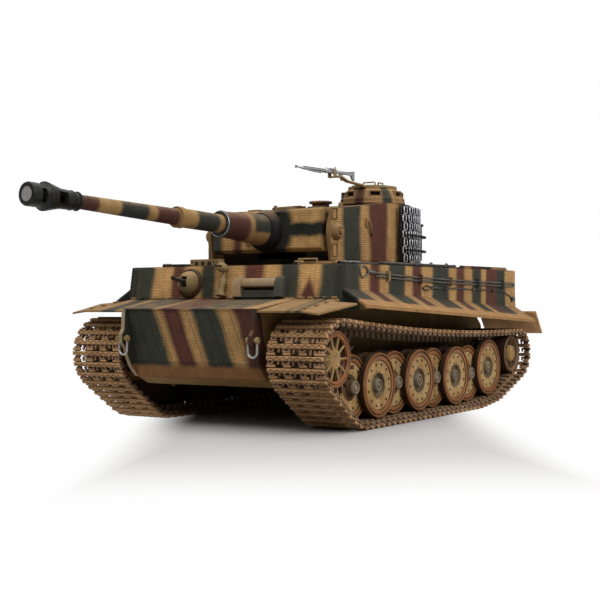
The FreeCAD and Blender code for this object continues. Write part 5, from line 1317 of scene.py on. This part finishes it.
def turret_roof():
    """Ventilator, lifting posts and roof pads of the turret."""
    roof = Shape()
    vent = lathe([(164.5, 0), (164.5, 7.0), (169.4, 7.0), (169.6, 9.2), (170.4, 9.6), (171.2, 9.0),
                  (171.6, 6.0),
                  (171.7, 0)], 48)
    roof.add(swapped(vent, "yzx"), at(9, -20, 0))
    for index in range(6):
        turn = math.pi * index / 3
        roof.add(bolt(0.6, 0.4), at(9 + 7.6 * math.cos(turn), -20 + 7.6 * math.sin(turn), 171.2))
    for x, y in ((-44, 40), (20, 62), (-50, -4), (44, -42)):
        post = lathe([(0, 0), (0, 2.0), (3.2, 1.6), (3.8, 1.2), (3.8, 0)], 20)
        roof.add(swapped(post, "yzx"), at(x, y, roof_line(y) - 0.3))
    for x in (-30, 30):
        roof.add(slab(x - 6, x + 6, -59, -50, roof_line(-54) - 0.3, roof_line(-54) + 1.5, 0.5))
    piece("turret_roof_fittings", "turret", roof, deck_paint, TURRET)


# turned shapes of the gun: the lathe's x axis becomes the gun's y axis
GUN_TURNED = GUN @ Matrix(((0, 1, 0, 0), (1, 0, 0, 0), (0, 0, 1, 0), (0, 0, 0, 1)))


def mantlet_boss():
    """Boss of the mantlet with radial ridges."""
    boss = Shape()
    boss.add(lathe([(-13.4, 16.0), (-15.0, 16.4), (-18.6, 15.2), (-21.9, 13.0), (-22.3, 12.4)], 72))
    for index in range(36):
        turn = 2 * math.pi * index / 36
        rib = slab(-20.6, -14.0, -0.28, 0.28, 12.6, 16.3, 0.1)
        tilt = spun(turn) @ at(-14.0, 0, 16.4) @ spun(math.radians(-24), "Y") @ at(14.0, 0, -16.4)
        boss.add(rib, tilt)
    # the sleeve paint turns this boss near-black: painted shade behind the sleeve
    piece("mantlet_boss", "mantlet", boss, sleeve_paint, GUN_TURNED)


def sleeve_ring():
    """Dark ring with a bright rim on the sleeve's end."""
    ring_shape = Shape()
    profile = [(-69.6, 7.05), (-69.6, 8.9), (-69.9, 9.6), (-69.4, 10.1), (-68.2, 10.0), (-67.6, 9.6),
               (-67.6, 7.05)]
    ring_shape.add(lathe(profile + profile[:1], 56))
    ring_shape.add(ring(9.5, 0.3, 56, 8), at(-70.0, 0, 0), 1)
    piece("sleeve_ring", "mantlet", ring_shape, [black_tool, bright_steel], GUN_TURNED)


def mantlet_sights():
    """Rimmed sight holes, the second gun's port and studs on the mantlet."""
    sights = Shape()
    for x, z, radius in ((31.3, 3.2, 1.2), (34.4, 3.2, 1.2), (-17.5, -9.6, 1.6)):
        rim = [(14.4, radius), (15.2, radius), (15.3, radius + 0.6), (14.2, radius + 0.9)]
        points, faces = lathe(rim + rim[:1], 24)
        sights.add(swapped((points, faces), "yXz"), at(x, 0, z))
        # near-black disc in each sight hole: painted shade of the opening
        dark = lathe([(14.75, 0), (14.75, radius), (14.2, radius), (14.2, 0)], 20)
        sights.add(swapped(dark, "yXz"), at(x, 0, z), 1)
    for x, z in ((12.6, 13.6), (14.8, 5.6), (-12.6, 13.6)):
        sights.add(dome(1.1, 0.8), at(x, -14.6, z) @ facing((0, -1, 0)), 0)
    piece("mantlet_sights", "mantlet", sights, [mantlet_paint, opening_shade], GUN)


def bore_plug():
    """Grey plug in the muzzle with a black rim."""
    muzzle = Shape()
    muzzle.add(lathe([(-252.7, 0), (-252.7, 4.6), (-252.3, 4.9)], 40))
    muzzle.add(lathe([(-252.3, 4.8), (-252.9, 5.3), (-253.0, 6.4), (-252.5, 7.4), (-251.8, 7.7)], 56), tone=1)
    piece("bore_plug", "gun_barrel", muzzle, [bore_grey, brake_paint], GUN_TURNED)


def barrel_rings():
    """Raised rings on the muzzle brake and on the barrel."""
    brake = Shape()
    for reach, radius, thick in ((-211.4, 5.9, 0.5), (-217, 6.35, 0.25), (-239, 9.1, 0.35)):
        brake.add(ring(radius, thick, 56, 8), at(reach, 0, 0))
    piece("brake_rings", "gun_barrel", brake, brake_paint, GUN_TURNED)
    bands_shape = Shape()
    for reach in (-112.4, -116.8):
        bands_shape.add(ring(7.25, 0.45, 56, 8), at(reach, 0, 0))
    piece("barrel_rings", "gun_barrel", bands_shape, gun_paint, GUN_TURNED)


def cupola_frames():
    """Vision block hoods and the base bead of the cupola."""
    shape = Shape()
    for index in range(7):
        move = spun(2 * math.pi * index / 7, "Z")
        shape.add(slab(21.2, 25.4, -4.9, -3.9, 174.4, 179.6, 0.4), move)
        shape.add(slab(21.2, 25.4, 3.9, 4.9, 174.4, 179.6, 0.4), move)
        shape.add(slab(20.6, 25.2, -4.9, 4.9, 178.9, 180.2, 0.5), move)
        # near-black block in each hood: painted shade of the vision opening
        shape.add(slab(20.2, 22.6, -3.9, 3.9, 175.2, 178.9, 0.0), move, 1)
        shape.add(slab(22.4, 25.2, -3.6, 3.6, 174.8, 175.8, 0.3), move)
    lip = lathe([(169.0, 26.8), (170.2, 27.2), (171.2, 26.8)], 72)
    shape.add(swapped(lip, "yzx"))
    piece("cupola_frames", "turret", shape, [cupola_paint, opening_shade], CUPOLA)


def commander_hatch_trim():
    """Raised rim and grip of the commander's hatch."""
    hatch = Shape()
    low = 183.0
    lid = lathe([(low + 1.6, 0), (low + 1.6, 0.1), (low + 1.6, 9), (low + 2.3, 9.6), (low + 2.3, 13.6),
                 (low + 1.7, 14.4)], 56)
    hatch.add(swapped(lid, "yzx"))
    hatch.add(tube([(-6, -5, low + 1.8), (-6, -5, low + 4.4), (-5, -5, low + 5.0), (5, -5, low + 5.0),
                    (6, -5, low + 4.4), (6, -5, low + 1.8)], 0.6, 8))
    piece("commander_hatch_trim", "commander_hatch", hatch, cupola_paint, CUPOLA)


def machine_gun():
    """Machine gun with a perforated jacket, feed cover, grip, stock and folded bipod."""
    shape = Shape()
    barrel = lathe([(-47.5, 0), (-47.5, 1.25), (-45.8, 0.75), (-44.4, 0.6), (-44.0, 0.85), (-41.4, 0.85),
                    (-41.0, 1.15), (-40.0, 1.2), (-8.4, 1.2), (-8.4, 0)], 18)
    turned = ([(y, px, pz + 0.6) for px, y, pz in barrel[0]], barrel[1])
    shape.add(turned)
    for index in range(9):
        for turn in range(4):
            # the jacket's perforations are near-black slabs on the barrel: painted shade of the holes
            hole = slab(-0.42, 0.42, -1.15, 1.15, 1.05, 1.3, 0.1)
            move = at(0, -37 + index * 3.3, 0.6) @ spun(math.pi / 2 * turn + math.pi / 4, "Y")
            shape.add(hole, move, 1)
    shape.add(slab(-1.5, 1.5, -9.2, 6.2, -1.1, 1.9, 0.5))
    shape.add(slab(-1.7, 1.7, -5.4, 3.4, 1.7, 3.0, 0.5))
    shape.add(slab(-1.2, 1.2, 6.0, 17.2, -0.8, 1.8, 0.5))
    shape.add(slab(-2.6, -1.4, -4.4, 0.4, 0.2, 2.0, 0.3))
    shape.add(tube([(0, -8.0, 1.9), (0, -8.0, 3.6)], 0.35, 8))
    shape.add(slab(-0.7, 0.7, 3.4, 4.6, 2.6, 4.4, 0.2))
    stock = prism([(17.0, -0.4), (17.0, 1.7), (24.0, 2.2), (29.8, 3.0), (30.0, -4.6), (28.2, -4.2),
                   (25.6, -0.8)],
                  -0.95, 0.95)
    shape.add(swapped(stock, "zxy"))
    grip = prism([(10.2, -0.6), (12.8, -0.6), (14.8, -5.2), (12.6, -5.8)], -0.8, 0.8)
    shape.add(swapped(grip, "zxy"))
    guard = [(0, 9.8, -0.9), (0, 8.4, -1.6), (0, 8.0, -2.9), (0, 9.6, -3.7), (0, 11.4, -3.4)]
    shape.add(tube(guard, 0.3, 8))
    shape.add(tube([(0, 8.8, -0.8), (0, 9.2, -2.4)], 0.25, 6))
    for side in (1, -1):
        shape.add(tube([(side * 0.9, -38, -0.2), (side * 1.3, -24, -1.1), (side * 1.5, -13, -1.4)], 0.38, 8))
    pin = lathe([(-3.4, 0), (-3.4, 0.9), (-2.9, 0.7), (2.9, 0.7), (3.4, 0.9), (3.4, 0)], 12)
    shape.add(pin)
    made = piece("machine_gun", "aa_machine_gun", shape, [gun_metal, opening_shade], MACHINE_GUN)
    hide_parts("aa_machine_gun")


# ---------------------------------------------------------------- CAD nodes that stay

def finish_cad():
    """Finishes of the CAD nodes that are shown as they are."""
    finishes = {
        "lower_hull": tub_paint, "nose_armour": nose_paint, "upper_hull": deck_paint,
        "engine_deck": deck_paint,
        "mudguards": fender_paint, "side_skirts": skirt_paint, "exhausts": tub_paint, "bow_ball": tan_paint,
        "roof_brackets": tan_paint, "cable_clips": side_paint, "drive_gearboxes": black_plastic,
        "battery_pack": battery_wrap, "battery_door": black_plastic, "control_board": board_green,
        "speaker": black_plastic, "turret_motor": black_plastic, "swing_arms": tub_paint,
        "turret_shell": turret_paint, "mantlet": mantlet_paint, "gun_barrel": gun_paint,
        "cupola": cupola_paint,
        "commander_hatch": cupola_paint, "loader_hatch": deck_paint, "aa_bracket": tan_paint,
        "turret_bin": bin_paint, "driver_hatch": deck_paint, "radio_hatch": deck_paint,
        "power_switch": black_plastic}
    for name, material in finishes.items():
        paint(name, material)


def split_faces(name, choose, *materials):
    """Give a CAD node several finishes by where each face lies, in the hull frame."""
    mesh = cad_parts[name].data
    mesh.materials.clear()
    for material in materials:
        mesh.materials.append(material)
    for face in mesh.polygons:
        centre = face.center * 1000 - HULL_SHIFT
        face.material_index = choose(centre, face.normal)


def gun_zone(centre, normal):
    local = GUN.inverted() @ (centre + HULL_SHIFT)
    return 1 if local.y < -211 else 0


def mantlet_zone(centre, normal):
    local = GUN.inverted() @ (centre + HULL_SHIFT)
    return 1 if local.y < -14.8 else 0


def upper_hull_zone(centre, normal):
    if centre.y < -116 and centre.z > 92:
        return 1
    if abs(centre.x) > 95.5:
        return 2
    return 3 if centre.y > 179 else 0


def guard_zone(centre, normal):
    return 1 if centre.y > 150 else 0


def nose_zone(centre, normal):
    if centre.x < -55.2 and normal.y < -0.3:
        return 2
    return 1 if centre.z > 83.4 and abs(normal.z) > 0.8 else 0


# ---------------------------------------------------------------- studio

def floor_material():
    """Grey paper in front of and beside the model, a painted shadow zone, melting into floor that glows white
    further out.
    """
    material, tree, shader = new_material("floor_painted_shadow_and_glow")
    # grey base colour: the painted shadow zone near the model
    shader.inputs["Base Color"].default_value = (0.30, 0.29, 0.285, 1)
    shader.inputs["Roughness"].default_value = 0.8
    shader.inputs["Specular IOR Level"].default_value = 0.1
    point = position(tree)
    ahead = clamp_map(tree, along(tree, point, (0.555, -0.832, 0)), 190.0, 420.0)
    beside = maths(tree, "ABSOLUTE", along(tree, point, (0.832, 0.555, 0), (21, 14, 0)))
    away = maths(tree, "MAXIMUM", ahead, clamp_map(tree, beside, 92.0, 140.0))
    # emission outside that zone: the floor glows white
    glow = node(tree, "ShaderNodeEmission")
    blend = node(tree, "ShaderNodeMixShader")
    feed(tree, blend.inputs[0], away)
    tree.links.new(shader.outputs[0], blend.inputs[1])
    tree.links.new(glow.outputs[0], blend.inputs[2])
    tree.links.new(blend.outputs[0], tree.nodes["Material Output"].inputs[0])
    return material


def sky():
    """A white surround that lights mostly from above."""
    world = bpy.data.worlds.new("studio")
    world.use_nodes = True
    tree = world.node_tree
    seen = tree.nodes["Background"]
    seen.inputs[0].default_value = (1, 1, 1, 1)
    direction = node(tree, "ShaderNodeTexCoord")
    split = node(tree, "ShaderNodeSeparateXYZ")
    feed(tree, split.inputs[0], direction.outputs["Generated"])
    light = node(tree, "ShaderNodeBackground")
    feed(tree, light.inputs["Strength"], clamp_map(tree, split.outputs["Z"], -0.05, 0.9, 0.05, 1.6))
    paths = node(tree, "ShaderNodeLightPath")
    blend = node(tree, "ShaderNodeMixShader")
    feed(tree, blend.inputs[0], paths.outputs["Is Camera Ray"])
    tree.links.new(light.outputs[0], blend.inputs[1])
    tree.links.new(seen.outputs[0], blend.inputs[2])
    tree.links.new(blend.outputs[0], tree.nodes["World Output"].inputs[0])
    return world


FLOOR_HALF = 6.0
LAMPS = [
    ("key", (0.3, -1.3, 1.6), 0.9, 17),
    ("top", (-0.1, 0.1, 1.7), 1.4, 16),
    ("left", (1.5, -0.1, 0.9), 0.9, 22)]
LAMP_TARGET = Vector((0, 0, 0.06))
CAMERA_PLACE = (0.52916, -0.79436, 0.0920)
CAMERA_AZIMUTH = 31.954
CAMERA_RISE = 1.833
CAMERA_ROLL = -0.233
CAMERA_LENS = 72.69
CAMERA_SHIFT = (-0.032, 0.0633)


def studio():
    """Floor, surround, three soft lamps and the camera."""
    scene = bpy.context.scene
    mesh = bpy.data.meshes.new("floor")
    size = FLOOR_HALF
    mesh.from_pydata([(-size, -size, 0), (size, -size, 0), (size, size, 0), (-size, size, 0)], [],
                     [(0, 1, 2, 3)])
    floor = bpy.data.objects.new("floor", mesh)
    scene.collection.objects.link(floor)
    mesh.materials.append(floor_material())
    scene.world = sky()
    for name, place, width, power in LAMPS:
        light = bpy.data.lights.new(name, "AREA")
        light.size = width
        light.energy = power
        lamp = bpy.data.objects.new(name, light)
        scene.collection.objects.link(lamp)
        lamp.location = place
        lamp.rotation_euler = (LAMP_TARGET - Vector(place)).to_track_quat("-Z", "Y").to_euler()
    camera_data = bpy.data.cameras.new("camera")
    camera = bpy.data.objects.new("camera", camera_data)
    scene.collection.objects.link(camera)
    camera_data.lens = CAMERA_LENS
    camera_data.sensor_width = 36.0
    camera_data.shift_x, camera_data.shift_y = CAMERA_SHIFT
    camera.location = CAMERA_PLACE
    look = (spun(math.radians(CAMERA_AZIMUTH), "Z") @ spun(math.radians(90 - CAMERA_RISE), "X")
            @ spun(math.radians(CAMERA_ROLL), "Z"))
    camera.rotation_euler = look.to_euler()
    camera_data.dof.use_dof = False
    scene.camera = camera
    scene.view_settings.view_transform = "Standard"
    scene.view_settings.look = "None"


studio()
finish_cad()
split_faces("gun_barrel", gun_zone, gun_paint, brake_paint)
split_faces("mantlet", mantlet_zone, mantlet_paint, sleeve_paint)
split_faces("upper_hull", upper_hull_zone, deck_paint, front_paint, side_paint, rear_paint)
split_faces("nose_armour", nose_zone, nose_paint, glacis_paint, visor_tan)
split_faces("mudguards", guard_zone, fender_paint, guard_paint_with_light)
armour_paste()
tracks()
road_wheels()
sprockets()
idlers()
visor()
headlight()
bow_mount()
shackles()
towing_cables()
thin_cable()
fender_fittings()
weld_seams()
deck_furniture()
deck_tools()
spare_track_links()
cheek_fittings()
turret_roof()
mantlet_boss()
sleeve_ring()
mantlet_sights()
bore_plug()
barrel_rings()
cupola_frames()
commander_hatch_trim()
machine_gun()
